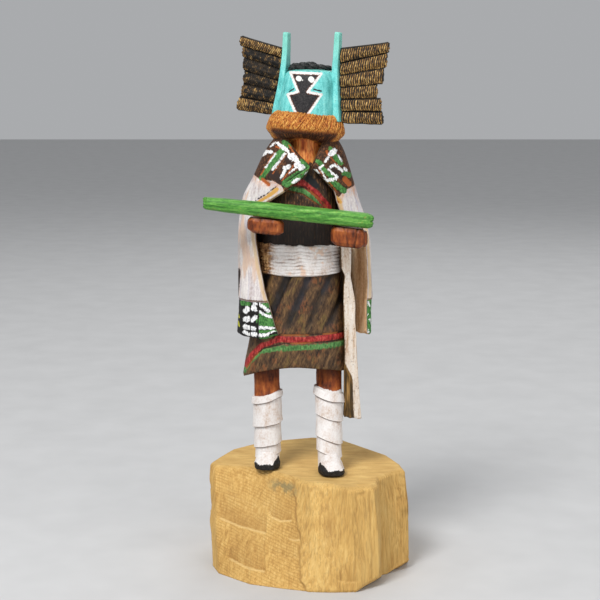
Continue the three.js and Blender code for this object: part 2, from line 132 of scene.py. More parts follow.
def edgeDistance(x, z, corners):
    # distance to a closed outline: below 0 is inside it
    inside = np.zeros(np.shape(x), bool)
    best = np.full(np.shape(x), 99.0)
    for (ax, az), (bx, bz) in zip(corners, corners[1:] + corners[:1]):
        dx, dz = bx - ax, bz - az
        t = np.clip(((x - ax) * dx + (z - az) * dz) / (dx * dx + dz * dz), 0, 1)
        best = np.minimum(best, np.hypot(x - ax - t * dx, z - az - t * dz))
        level = dz if abs(dz) > 1e-9 else 1e-9
        inside ^= ((az > z) != (bz > z)) & (x < dx * (z - az) / level + ax)
    return np.where(inside, -best, best)


# meshes

def patch(x, y, z, start="fan", end="fan", marks=None):
    # quads between neighbouring rows of a grid whose columns run once round; start and end close it:
    # fan to a middle point, strip between the two halves of the row, or ring when the rows run round too
    rings = np.stack(np.broadcast_arrays(x, y, z), -1).astype(float)
    rows, columns = rings.shape[:2]
    index = np.arange(rows * columns).reshape(rows, columns)
    if start == "ring":
        index = np.vstack([index, index[:1]])
    after = np.roll(index, -1, axis=1)
    quads = [np.stack([index[:-1], after[:-1], after[1:], index[1:]], -1).reshape(-1, 4)]
    marks = {name: [np.broadcast_to(value, (rows, columns)).reshape(-1)]
             for name, value in (marks or {}).items()}
    points, fans = [rings.reshape(-1, 3)], []
    for kind, row, last in ((start, 0, False), (end, rows - 1, True)):
        line = index[row]
        if kind == "strip":
            half = columns // 2
            near, far = line[:half], line[::-1][:half]
            strip = np.stack([near[:-1], far[:-1], far[1:], near[1:]], -1)
            quads.append(strip[:, ::-1] if last else strip)
        if kind == "fan":
            middle = sum(len(p) for p in points)
            points.append(rings[row].mean(0, keepdims=True))
            for name in marks:
                marks[name].append(np.array([marks[name][0][line].mean()]))
            around = np.roll(line, -1)
            fan = np.stack([np.full(columns, middle), around, line], -1)
            fans.append(fan[:, ::-1] if last else fan)
    quads = np.concatenate(quads)
    fans = np.concatenate(fans) if fans else np.zeros((0, 3), int)
    points = np.concatenate(points)
    corners = np.concatenate([quads[:, [0, 1, 2]], quads[:, [0, 2, 3]], fans])
    a, b, c = (points[corners[:, i]] for i in range(3))
    if np.einsum("ij,ij->", a, np.cross(b, c)) < 0:  # six times the volume: the faces must look out
        quads, fans = quads[:, ::-1], fans[:, ::-1]
    return points, quads, fans, {name: np.concatenate(value) for name, value in marks.items()}


def build(name, patches, finish, nodes=("figure",)):
    # joins closed patches into one piece that rides on the body and stands for its CAD nodes
    points, faces, marks, first = [], [], {}, 0
    for corners, quads, fans, values in patches:
        points.append(corners)
        faces += (quads + first).tolist() + (fans + first).tolist()
        first += len(corners)
        for key, value in values.items():
            marks.setdefault(key, []).append(value)
    mesh = bpy.data.meshes.new(name)
    mesh.from_pydata((np.concatenate(points) / 1000).tolist(), [], faces)
    for key, value in marks.items():
        layer = mesh.attributes.new(key, "FLOAT", "POINT")
        layer.data.foreach_set("value", np.concatenate(value).astype(np.float32))
    mesh.polygons.foreach_set("use_smooth", np.ones(len(mesh.polygons), bool))
    mesh.materials.append(finish)
    mesh.update()
    piece = bpy.data.objects.new(name, mesh)
    bpy.context.scene.collection.objects.link(piece)
    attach(piece, "root")
    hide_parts(*nodes)
    triangles = sum(2 * len(quads) + len(fans) for _, quads, fans, _ in patches)
    print(f"{name}: {triangles} triangles")
    return piece


def onFigure(x, y, z):
    # from the doll's own frame to the CAD frame
    return x + standing[0], y + standing[1], z + standing[2]


# shader

class Signal:
    # a socket whose arithmetic adds Math nodes to its material
    def __init__(self, finish, socket):
        self.finish, self.socket = finish, socket

    def math(self, operation, *values):
        return self.finish.node("ShaderNodeMath", {"operation": operation}, dict(enumerate(values)))

    def __add__(self, other):
        return self.math("ADD", self, other)

    def __sub__(self, other):
        return self.math("SUBTRACT", self, other)

    def __rsub__(self, other):
        return self.math("SUBTRACT", other, self)

    def __mul__(self, other):
        return self.math("MULTIPLY", self, other)

    __radd__, __rmul__ = __add__, __mul__

    def least(self, other):
        return self.math("MINIMUM", self, other)

    def most(self, other):
        return self.math("MAXIMUM", self, other)

    def sine(self):
        return self.math("SINE", self)

    def size(self):
        return self.math("ABSOLUTE", self)

    def rising(self, start, end):
        # 0 at start and 1 at end, smoothly between
        ends = {"Value": self, "From Min": start, "From Max": end, "To Min": 0.0, "To Max": 1.0}
        return self.finish.node("ShaderNodeMapRange", {"interpolation_type": "SMOOTHSTEP"}, ends)

    def falling(self, start, end):
        return 1 - self.rising(start, end)

    def stretched(self, x, y, z):
        # a place with each of its axes multiplied
        return self.finish.node("ShaderNodeVectorMath", {"operation": "MULTIPLY"},
                                {0: self, 1: (x, y, z)})

    def axis(self, name):
        return self.finish.node("ShaderNodeSeparateXYZ", {}, {0: self}, name)


def tone(red, green, blue):
    # a paint colour from 0 to 255 a channel, in the linear values that sockets take
    share = np.array([red, green, blue]) / 255
    linear = np.where(share < 0.04045, share / 12.92, ((share + 0.055) / 1.055) ** 2.4)
    return (*linear.tolist(), 1.0)


class Finish:
    # one material: each method adds nodes to it and gives back a Signal
    def __init__(self, name):
        self.material = bpy.data.materials.new(name)
        self.material.use_nodes = True
        self.tree = self.material.node_tree
        self.tree.nodes.clear()
        # the place on the object in millimetres
        at = self.node("ShaderNodeTexCoord", {}, {}, "Object")
        self.place = at.stretched(1000.0, 1000.0, 1000.0)
        self.x, self.y, self.z = (self.place.axis(name) for name in "XYZ")

    def node(self, kind, settings, sockets, output=0):
        # one node: its settings first, then the values or links of its sockets
        made = self.tree.nodes.new(kind)
        for key, value in settings.items():
            if key == "stops":
                ramp = made.color_ramp.elements
                while len(ramp) < len(value):
                    ramp.new(0.5)
                for stop, (at, colour) in zip(ramp, value):
                    stop.position, stop.color = at, colour
            else:
                setattr(made, key, value)
        for key, value in sockets.items():
            if isinstance(value, Signal):
                self.tree.links.new(value.socket, made.inputs[key])
            else:
                made.inputs[key].default_value = value
        return None if output is None else Signal(self, made.outputs[output])

    def mark(self, name):
        return self.node("ShaderNodeAttribute", {"attribute_name": name}, {}, "Fac")

    def noise(self, scale, detail=3.0, stretch=(1, 1, 1), roughness=0.55):
        # noise whose lumps are about 1 / scale millimetres, stretched along an axis by a smaller number
        sockets = {"Vector": self.place.stretched(*stretch), "Scale": scale, "Detail": detail,
                   "Roughness": roughness}
        return self.node("ShaderNodeTexNoise", {}, sockets, "Fac")

    def ramp(self, value, *stops):
        # a ramp through stops of (place, red, green, blue)
        stops = [(at, tone(*colour)) for at, *colour in stops]
        return self.node("ShaderNodeValToRGB", {"stops": stops}, {"Fac": value}, "Color")

    def mixed(self, share, under, over):
        return self.node("ShaderNodeMix", {"data_type": "RGBA"}, {0: share, 6: under, 7: over}, 2)

    def done(self, colour, dull, relief, depth=0.1, sheen=0.35):
        # depth is how high the relief stands, in millimetres
        height = {"Height": relief, "Strength": 1.0, "Distance": depth / 1000}
        bump = self.node("ShaderNodeBump", {}, height)
        sockets = {"Base Color": colour, "Roughness": dull, "Normal": bump, "Specular IOR Level": sheen}
        shader = self.node("ShaderNodeBsdfPrincipled", {}, sockets)
        self.node("ShaderNodeOutputMaterial", {}, {"Surface": shader}, None)
        return self.material


# the block

block = {
    # corners from the front, anticlockwise seen from above: [top x, top y, foot x, foot y]
    "corners": [
        [6.2, -21.2, 8, -29.3], [10.9, -25.9, 13.6, -28.9], [18.2, -23.7, 20.4, -24.6],
        [19.9, -19.2, 21.3, -19.2], [20.7, -14.2, 21.6, -14.8], [25.3, -8.4, 26.4, -12.4],
        [29.2, -5.6, 30.3, -9.6], [28.2, 1, 30.1, -1], [24.8, 11.4, 27.4, 11], [14.7, 25.8, 16.4, 25.6],
        [10.8, 31.2, 11, 30.4], [1.4, 34.2, 1, 33.2], [-8.5, 30.6, -8.7, 30.6], [-17.8, 25.8, -18, 26],
        [-24.8, 18.5, -25, 19], [-28.6, 9, -28.4, 8], [-30.7, 2.6, -29.4, -6],
        [-28.8, -0.6, -27.2, -13.4], [-16.9, -2.6, -17.4, -22.8], [-9.6, -9, -8, -26.4],
        [-3.6, -15.4, 0.2, -28.9], [-0.2, -19.8, 3.4, -29.2],
    ],
    "columns": 400,
    "reach": 28,  # its mean radius
    "chop": {"heading": -34, "from": 27.1, "slope": 0.85},  # the cut under the front right corner
    "rim": 1.0,
    # where a knife stopped on the front: a line of [x, z] places, how deep it went, how far up it fades
    "cuts": [
        [[[-27.6, 15.4], [-26.4, 15.1], [-21, 13.9], [-16, 13.5], [-12.9, 13.3]], 0.75, 6],
        [[[-25.6, 21.9], [-20, 20.9], [-15.4, 19.6]], 0.3, 3],
        [[[-24.4, 4.9], [-19.2, 3.8], [-13.2, 3.5]], 0.6, 6],
        [[[-12.7, 19.7], [-11.2, 17.7], [-8.5, 17.2], [-5.2, 18]], 0.65, 4],
        [[[-6.6, 13.2], [-4.5, 12.9], [-2.5, 13.4]], 0.45, 3],
        [[[-12.2, 8.6], [-7, 8], [-2.4, 8.4]], 0.25, 4],
        [[[7.6, 3.6], [10, 2.8], [13.8, 3]], 0.3, 2],
    ],
    "notch": [14.3, -22.2, 19.4, -21.6, 0.7],  # a split in the top, behind the front corner
}


def knifeCuts(x, z):
    # above each line the wood is hollowed by depth * exp(-height above / run); below it is left proud
    hollow, ledge = 0, 0
    for line, depth, run in block["cuts"]:
        stop = np.interp(x, *np.array(line).T)
        ends = (rising(x, line[0][0] - 0.5, line[0][0] + 1)
                * (1 - rising(x, line[-1][0] - 0.3, line[-1][0] + 0.3)))
        above = z - stop
        hollow = np.maximum(hollow,
                            depth * ends * rising(above, -0.1, 0.2) * np.exp(-np.maximum(0, above) / run))
        # ledge: a thin band along each cut's lip, where the finish paints a highlight
        ledge = np.maximum(ledge, ends * np.exp(-(above / 0.3) ** 2) * min(1, depth * 2))
    return hollow, ledge


def blockPiece(finish):
    # wall: the corners' straight outline, foot to top, times 1 + 0.012 sin(pi up), less cuts and grain;
    # top and underside: the same outline shrunk to the middle
    corners = np.array(block["corners"], float)
    ends = np.vstack([corners, corners[:1]])
    length = np.hypot(*(ends[1:, :2] - ends[:-1, :2]).T)
    front = np.where((ends[1:, 1] + ends[:-1, 1]) < 0, 1.9, 1.0)
    knots = np.concatenate([[0], np.cumsum(length * front)])
    turn = np.arange(block["columns"]) / block["columns"] * knots[-1]
    topX, topY, footX, footY = (np.interp(turn, knots, ends[:, i]) for i in range(4))
    corner = np.interp(turn, knots, np.arange(len(knots)))[None]
    height = blockHigh[2]
    heading = math.radians(block["chop"]["heading"])

    def lifted(x, y):
        beyond = x * math.cos(heading) + y * math.sin(heading) - block["chop"]["from"]
        return np.maximum(0, beyond * block["chop"]["slope"])

    up = (1 - (1 - np.linspace(0, 1, 112)) ** 1.12)[:, None]
    wallFoot = lifted(footX, footY)[None]
    z = wallFoot + (height - wallFoot) * up
    corner = corner + 0.09 * noise(0, 0, z * 0.3, 1) + 0.04 * noise(0, 0, z * 1.1, 12)
    leftFace = rising(corner, 16.6, 17.1) * (1 - rising(corner, 19.74, 19.8))
    column = 1 - rising(corner, 2.6, 3.2) * (1 - rising(corner, 19.76, 19.82))
    rightFace = rising(corner, 3.4, 4) * (1 - rising(corner, 7.5, 8.5))
    backFace = rising(corner, 7.6, 8.6) * (1 - rising(corner, 15.6, 16.6))
    share = z / height
    x = footX + (topX - footX) * share
    y = footY + (topY - footY) * share
    size = 1 + 0.012 * np.sin(np.pi * share)
    worn = np.clip((z - (height - 1.3 * block["rim"])) / (1.3 * block["rim"]), 0, 1)
    size = size - block["rim"] * worn ** 2 / block["reach"]
    hollow, ledge = knifeCuts(x, z)
    hollow, ledge = hollow * (leftFace + column), ledge * (leftFace + column)
    steps = (z / 6.5 + 0.9 * noise(x * 0.09, y * 0.09, 0, 2) + 0.25 * noise(x * 0.3, y * 0.3, 0, 3)) % 1
    backCuts = (0.45 * np.exp(-steps * 2.5) * rising(steps, 0, 0.06)
                * rising(noise(x * 0.1, y * 0.1, z * 0.1, 4), -0.3, 0.1))
    fibre = noise(x * 1.5, y * 1.5, z * 0.06, 5) * 0.16 + noise(x * 3, y * 3, z * 0.1, 6) * 0.07
    split = np.maximum(0, 1 - np.abs(noise(x * 0.42, y * 0.42, z * 0.05, 7)) / 0.09) * 0.3
    crackle = (np.abs(np.sin(np.pi * (turn * 0.62 + 0.9 * noise(x * 0.3, y * 0.3, z * 0.3, 8)))) ** 0.6
               * 0.34 - 0.2)
    broad = noise(x * 0.14, y * 0.14, z * 0.16, 9) * 0.4
    step = np.exp(-((corner - 19.78) / 0.05) ** 2) * (0.75 + 0.5 * noise(0, 0, z * 0.4, 13))
    torn = 0.7 * np.exp(-(((x - 5.6) / 1.5) ** 2 + ((z - 17.5) / 5) ** 2)) * column
    relief = broad * (0.5 + 0.5 * backFace) - 0.3 + fibre * (0.35 + 0.65 * column + 0.3 * backFace)
    relief = relief + (0.75 - split - torn) * column + crackle * rightFace - backCuts * backFace - hollow
    size = (size + relief * (1 - 0.8 * worn) * (0.35 + 0.65 * rising(z - wallFoot, 0, 0.8))
            / block["reach"])
    wall = [x * size, y * size, z + 0 * x]
    shrink = np.linspace(1, 0.02, 42)[1:, None]
    topX, topY = wall[0][-1] * shrink, wall[1][-1] * shrink
    topZ = (noise(topX * 0.1, topY * 0.16, 0, 10) * 0.12 + noise(topX * 0.35, topY * 1.4, 0, 11) * 0.05
            - 0.16)
    topZ = topZ - 0.9 * np.exp(-(lineDistance(topX, topY, [block["notch"]]) / 0.35).clip(0) ** 2)
    topZ = height + topZ * (1 - shrink ** 10)
    lowShrink = np.linspace(0.02, 1, 12)[:-1, None]
    lowX, lowY = wall[0][0] * lowShrink, wall[1][0] * lowShrink
    x = np.vstack([lowX, wall[0], topX])
    y = np.vstack([lowY, wall[1], topY])
    z = np.vstack([lifted(lowX, lowY), wall[2], topZ])
    marks = {
        # painted highlight along each cut's lip and the back's steps
        "ledge": [0 * lowX, ledge + backFace * np.exp(-(steps / 0.05) ** 2) * 0.5, 0 * topX],
        # painted shade in the hollows over the cuts, the column's step, the splits, the torn fibre, the
        # back's cuts and the crackle's troughs
        "pit": [0 * lowX,
                hollow + step * (1 - worn) + split + torn + 0.5 * backCuts * backFace
                + (0.15 - crackle) * rightFace, 0 * topX],
        "chatter": [0 * lowX, leftFace + 0 * hollow, 0 * topX],
        "column": [0 * lowX, column + 0 * hollow, 0 * topX],
        "cutTop": [0 * lowX, worn + 0 * hollow, 1 + 0 * topX],
    }
    marks = {name: np.vstack(parts) for name, parts in marks.items()}
    return build("block_carved", [patch(x, y, z, marks=marks)], finish, ["block"])


def woodFinish():
    # fibres run up the block; knife chatter slants across its left face; the ledges get a painted highlight
    # and the pits painted shade
    finish = Finish("cottonwood")
    grain = finish.noise(1.3, 4, (1, 1, 0.05))
    fine = finish.noise(4.5, 3, (1, 1, 0.07))
    broad = finish.noise(0.12, 3, (1, 1, 0.5))
    side = finish.ramp(grain * 0.45 + fine * 0.25 + broad * 0.3, (0.34, 164, 122, 64),
                       (0.46, 204, 160, 90),
                       (0.56, 220, 180, 108), (0.68, 234, 200, 132))
    top = finish.ramp(finish.noise(0.5, 4, (0.3, 1, 1)) * 0.6 + broad * 0.4, (0.35, 190, 150, 86),
                      (0.55, 210, 172, 104), (0.68, 222, 188, 120))
    colour = finish.mixed(finish.mark("cutTop").rising(0.25, 0.9), side, top)
    streaks = finish.noise(2.2, 4, (1, 1, 0.03)).rising(0.5, 0.64) * finish.mark("column")
    colour = finish.mixed(finish.mark("column") * 0.15, colour, tone(224, 186, 112))
    colour = finish.mixed(streaks * 0.4, colour, tone(160, 124, 74))
    chatter = finish.mark("chatter")
    wobble = finish.noise(0.25, 2) * 9
    lines = ((finish.z * 1.15 + finish.x * 0.32) * 6.28 + wobble).sine()
    threads = (finish.x * 9.5 + finish.noise(0.5, 2) * 5).sine()
    weave = ((lines.rising(0.2, 1) * 0.5 + threads.rising(0.1, 1) * 0.22) * chatter
             * finish.noise(0.22, 2).rising(0.3, 0.55))
    colour = finish.mixed(weave.least(0.5), colour, tone(178, 134, 72))
    # painted shade, brown, in the hollows, splits and torn fibre
    colour = finish.mixed((finish.mark("pit") * 0.7).least(0.6), colour, tone(158, 116, 62))
    stain = finish.node("ShaderNodeVectorMath", {"operation": "DISTANCE"},
                        {0: finish.place.stretched(0.11, 0.05, 0.26), 1: (-0.9, -0.8, 6.9)}, "Value")
    patchy = (stain.falling(0.25, 0.75) * finish.noise(0.5, 4).rising(0.36, 0.56)
              * (1 - finish.mark("cutTop")))
    colour = finish.mixed(patchy * 0.7, colour, tone(122, 118, 88))
    # painted highlight along the lips of the cuts and the back's steps
    colour = finish.mixed(finish.mark("ledge").rising(0.3, 1.0) * 0.5, colour, tone(240, 210, 146))
    relief = grain * 0.5 + fine * 0.5 - weave * 0.35
    return finish.done(colour, 0.85, relief, 0.25)


# legs and feet

legs = {
    "thigh": 3.85,
    "right": {
        "ankle": [-10.6, -1.2], "knee": [-10.9, -0.5], "toesTurn": -6, "slant": 0.24, "ragged": 0.15,
        "inner": 1,
        "wraps": [[3.4, 3.6, 3.9], [6.6, 3.75, 4.2], [13, 3.95, 4.55], [20.4, 4.25, 4.75],
                  [22.2, 4.6, 4.6]],
    },
    "left": {
        "ankle": [7.8, -8.2], "knee": [7.8, -2], "toesTurn": 14, "slant": -0.3, "ragged": 0.9,
        "inner": -1,
        "wraps": [[5.2, 3.45, 3.8], [9.3, 3.65, 4.05], [15.7, 3.85, 4.2], [21.2, 4.15, 4.75],
                  [23.6, 4.6, 4.6]],
    },
}
foot = {"halfWidth": 3.9, "halfLength": 5.2, "sole": 1.7, "instep": 5.5, "ahead": 1.9}


def legPiece(side, finish):
    # rings up the leg: the radius falls from one wrap's lower edge to the next, then steps out over a ledge
    leg = legs[side]
    profile, wraps = [[1, 3.3]], leg["wraps"]
    for height, under, over in wraps[:-1]:
        profile += [[height - 0.02, under], [height - 0.16, over - 0.12], [height + 0.02, over + 0.06],
                    [height + 0.5, over]]
    top, under, _ = wraps[-1]
    profile += [[top - 0.25, under], [top, under - 0.2], [top - 0.05, legs["thigh"]], [33, legs["thigh"]]]
    profile = np.array(profile)
    knots = np.arange(len(profile))
    fine = np.concatenate([np.linspace(i, i + 1, 6 if i % 4 else 13, endpoint=False) for i in knots[:-1]]
                          + [[knots[-1]]])
    height, radius = (np.interp(fine, knots, profile[:, i])[:, None] for i in (0, 1))
    angle = circle(100)
    up = np.minimum(height / 23, 1.3)
    cloth = 1 - rising(height, top - 0.1, top + 0.1)
    tilt = np.where((height > 2) & (height < 24.2), leg["slant"] * radius * np.cos(angle), 0)
    wander = 0.3 * ringNoise(angle, 1.4, height * 0.16, 12) * cloth
    lumps = 0.1 * ringNoise(angle, 1.6, height * 0.4, 11)
    lumps = lumps + 0.05 * ringNoise(angle, 6, height * 0.25, 13)
    x = leg["ankle"][0] + (leg["knee"][0] - leg["ankle"][0]) * up + (radius + lumps) * np.cos(angle)
    y = leg["ankle"][1] + (leg["knee"][1] - leg["ankle"][1]) * up + (radius + lumps) * np.sin(angle)
    z = height + tilt + wander
    # painted shade just under each wrap's overhanging lower edge
    recess = sum(np.exp(-((edge - height) / 0.3) ** 2) * (height < edge + 0.02)
                 for edge, _, _ in wraps[:-1])
    slop = leg["ragged"] * (0.6 + roughness(2.2 * np.cos(angle), 2.2 * np.sin(angle), height * 0.7, 14))
    marks = {"skin": height - top - slop, "recess": recess + 0 * angle,
             # painted shade on the top of the thigh, under the dress's hem
             "gloom": rising(height, 26, 30) + 0 * angle}
    return build(f"leg_{side}", [patch(*onFigure(x, y, z), marks=marks)], finish)


def footPiece(side, finish):
    # squared ovals from the sole up, shrinking and moving back to the instep
    leg = legs[side]
    stations = np.array([
        [0, 0.96, 0], [0.3, 1, 0], [foot["sole"] - 0.15, 1, 0], [foot["sole"] + 0.15, 0.95, 0],
        [3, 0.86, 0.5], [4.4, 0.72, 1.5], [foot["instep"], 0.6, 2],
    ])
    knots = np.arange(len(stations))
    fine = np.linspace(0, knots[-1], 46)
    z, size, back = (np.interp(fine, knots, stations[:, i])[:, None] for i in range(3))
    angle = circle(120)
    x, y = oval(angle, foot["halfWidth"] * size, foot["halfLength"] * size, 2.3)
    x = x * np.where(y < 0, 1, 1 - 0.1 * np.minimum(1, np.abs(y) / 2))
    inward = rising(leg["inner"] * x / foot["halfWidth"], 0.5, 0.85)
    y = y + back - foot["ahead"]
    edge = foot["sole"] + 0.35 * noise(x * 0.9, y * 0.9, 0, 15) + 1.5 * inward
    turn = math.radians(leg["toesTurn"])
    bumps = 0.12 * noise(x * 0.6, y * 0.6, z * 0.8, 16)
    x, y = x * (1 + bumps / 4), y * (1 + bumps / 4)
    x, y = x * math.cos(turn) - y * math.sin(turn), x * math.sin(turn) + y * math.cos(turn)
    marks = {"sole": z - edge}
    shape = patch(*onFigure(x + leg["ankle"][0], y + leg["ankle"][1], z + 0 * x), marks=marks)
    return build(f"foot_{side}", [shape], finish)


def whitePaint(finish):
    # chalky white over wood: faint tan and grey clouds, and small rubbed places
    cloud = finish.noise(0.35, 4, (1, 1, 0.6))
    fine = finish.noise(2.2, 4, (1, 1, 0.7), 0.65)
    return finish.ramp(cloud * 0.55 + fine * 0.45, (0.33, 196, 172, 152), (0.42, 218, 206, 198),
                       (0.52, 230, 224, 220), (0.66, 240, 237, 234)), fine


def skinColour(finish):
    # brown stain over wood: streaks from dark to orange
    streak = finish.noise(0.9, 4, (1, 1, 0.3), 0.6)
    blot = finish.noise(0.35, 3)
    return finish.ramp(streak * 0.6 + blot * 0.4, (0.36, 72, 30, 10), (0.47, 126, 58, 20),
                       (0.6, 164, 88, 36), (0.68, 190, 118, 62)), streak


def legFinish():
    finish = Finish("legging_and_thigh")
    white, fine = whitePaint(finish)
    skin, streak = skinColour(finish)
    # painted shade darkens the thigh towards the dress's hem
    skin = finish.mixed(finish.mark("gloom") * 0.65, skin, tone(58, 24, 8))
    # painted shade, brown, under each wrap's lower edge
    white = finish.mixed((finish.mark("recess") * 0.9).least(0.85), white, tone(96, 66, 44))
    bare = (finish.mark("skin") + (fine - 0.5) * 0.6).rising(-0.05, 0.1)
    return finish.done(finish.mixed(bare, white, skin), 0.72, fine, 0.12)


def footFinish():
    finish = Finish("foot_and_sole")
    white, fine = whitePaint(finish)
    black = finish.ramp(fine, (0.4, 14, 13, 13), (0.68, 44, 40, 38))
    sole = (finish.mark("sole") + (fine - 0.5) * 0.7).falling(-0.06, 0.06)
    return finish.done(finish.mixed(sole, white, black), 0.68, fine, 0.12)


# dress and sash

dress = {
    "hem": 29.6, "top": 93,
    "middleX": [[28, -2.6], [41, -1.5], [59, -0.9], [69, -1.1], [93, 0.6]],
    "halfWidth": [[28, 15.5], [41, 14.3], [59, 11.8], [69, 12], [80, 10.4], [88, 9], [93, 7]],
    "halfDepth": [[28, 9.6], [41, 9.2], [59, 8.2], [69, 8], [80, 7.9], [88, 7.4], [93, 6]],
    "foldSpacing": 6.3, "foldLean": 0.46, "foldDepth": 0.9,
    # heights over which the bodice's darker paint begins, and over which its shadow ends
    "bodiceFrom": [96.5, 99], "shadeTo": [107, 109.5],
    # painted bands, each a run of [x, z, x, z, width] strokes
    "red": [
        [-7.6, 40.2, -1, 40.0, 1.9], [-1, 40.0, 5, 40.3, 1.7], [5, 40.3, 12.6, 40.6, 1.9],
        [-12.2, 38, -7.4, 40, 1.5], [-15.6, 34.2, -12.2, 38, 1.6], [-17.4, 31, -15.6, 34.2, 1.3],
        [-2.4, 86.1, -0.4, 86.2, 1.5], [-0.4, 86.2, 3.9, 83, 1.9], [3.9, 83, 7.4, 78.8, 1.9],
    ],
    "green": [
        [-12.4, 36.3, -7, 37.4, 1.4], [-7, 37.4, 2.1, 37.8, 1.5], [2.1, 37.8, 12.6, 38.3, 1.6],
        [-16, 32.6, -12.4, 36.3, 1.2], [-17.6, 29.4, -16, 32.6, 1.1],
        [-4.6, 84.9, 0.2, 83.8, 1.5], [0.2, 83.8, 6.4, 79.8, 1.7], [6.4, 79.8, 8, 77.6, 1.4],
    ],
    "seam": [
        [-17.3, 30.2, -14.6, 34.6, 0.3], [-14.6, 34.6, -12, 37.1, 0.3], [-12, 37.1, -6, 38.9, 0.3],
        [-6, 38.9, 12.6, 39.4, 0.3], [-7.6, 41.3, 12.6, 41.7, 0.3], [-5.2, 83.9, 0, 82.8, 0.3],
        [0, 82.8, 6, 78.6, 0.3], [-3, 85.2, 0.6, 84.9, 0.3], [0.6, 84.9, 4.4, 81.8, 0.3],
        [4.4, 81.8, 7, 78.8, 0.3],
    ],
    "black": [[1.4, 87.6, 3.6, 85.4, 2]],
}


def dressPoint(z, angle, proud=0.0):
    # a squared oval about the dress's own axis, proud of the cloth by so much
    x, y = oval(angle, along(dress["halfWidth"], z) + proud, along(dress["halfDepth"], z) + proud, 2.3)
    return along(dress["middleX"], z) + x, y


def frontward(count, lean=0.5):
    # angles once round from the front, closer together at the front
    even = np.arange(count) / count * 2 * np.pi - np.pi / 2
    return (even - lean * np.cos(even))[None]


def dressPiece(finish):
    # ovals from the hem up, cut in by slanting drape folds:
    # depth * (0.5 + 0.5 cos(2 pi (x - lean z) / spacing)) ^ 2.6
    angle = frontward(280)
    front = np.maximum(0, -np.sin(angle)) ** 2
    hem = dress["hem"] + 1.8 * front - 2.2 * np.maximum(0, -np.cos(angle)) ** 3
    hem = hem + 0.25 * ringNoise(angle, 2, 0, 20)
    v = np.linspace(0, 1, 168)[:, None]
    z = hem + (dress["top"] - hem) * v
    x, y = dressPoint(z, angle)
    lean = x - dress["foldLean"] * z
    wave = (0.5 + 0.5 * np.cos(2 * np.pi * (lean + 0.5 * noise(x * 0.12, y * 0.2, z * 0.1, 21))
                               / dress["foldSpacing"]))
    skirt = 1 - rising(z, 58, 60)
    fade = rising(z, 41.5, 46) * skirt
    weight = 0.65 + 0.5 * noise(lean * 0.16, y * 0.1, 0, 22)
    fold = np.where(y < 3, wave ** 2.6 * fade * weight, 0.5 * wave ** 3 * skirt * weight)
    ribs = noise(lean * 1.3, y * 0.5, z * 0.1, 23) * skirt
    hatch = noise(x * 1.9, y * 1.2, z * 0.25, 24) * (1 - skirt)
    seam = lineDistance(x, z, dress["seam"])
    carve = 0.3 * np.exp(-(seam.clip(0) / 0.22) ** 2) * (y < 0)
    lip = 0.25 * np.exp(-((z - hem) / 0.5) ** 2)
    cut = (dress["foldDepth"] * fold + 0.13 * ribs + 0.12 * hatch
           + 0.12 * roughness(x * 0.45, y * 0.45, z * 0.4, 25))
    size = 1 - (cut + carve + lip) / np.hypot(x, y)
    outside = np.where(y < 1, 0, 9.0)
    around = np.where(y < 1, 9.0, 0)
    marks = {
        # the fold mark also carries painted shade into the folds
        "fold": fold, "gap": 9.0 - (9.0 - seam) * (y < 0),
        "red": np.minimum(lineDistance(x, z, dress["red"]) + outside,
                          np.abs(z - 40.4 - 0.3 * np.sin(x)) - 0.9 + around),
        "green": np.minimum(lineDistance(x, z, dress["green"]) + outside,
                            np.abs(z - 38 - 0.3 * np.sin(x)) - 0.8 + around),
        "black": lineDistance(x, z, dress["black"]) + outside,
    }
    x, y = x * size, y * size
    inner = np.linspace(0.1, 0.97, 7)[:, None]
    low = [x[0] * inner + (1 - inner) * -2.6, y[0] * inner,
           z[0] * inner + (1 - inner) * (dress["hem"] + 1.4)]
    x, y, z = (np.vstack([under, wall]) for under, wall in zip(low, (x, y, z)))
    plain = {"fold": 0, "gap": 9, "red": 9, "green": 9, "black": 9}
    marks = {name: np.vstack([0 * low[0] + plain[name], value]) for name, value in marks.items()}
    return build("dress", [patch(*onFigure(x, y, z), marks=marks)], finish)


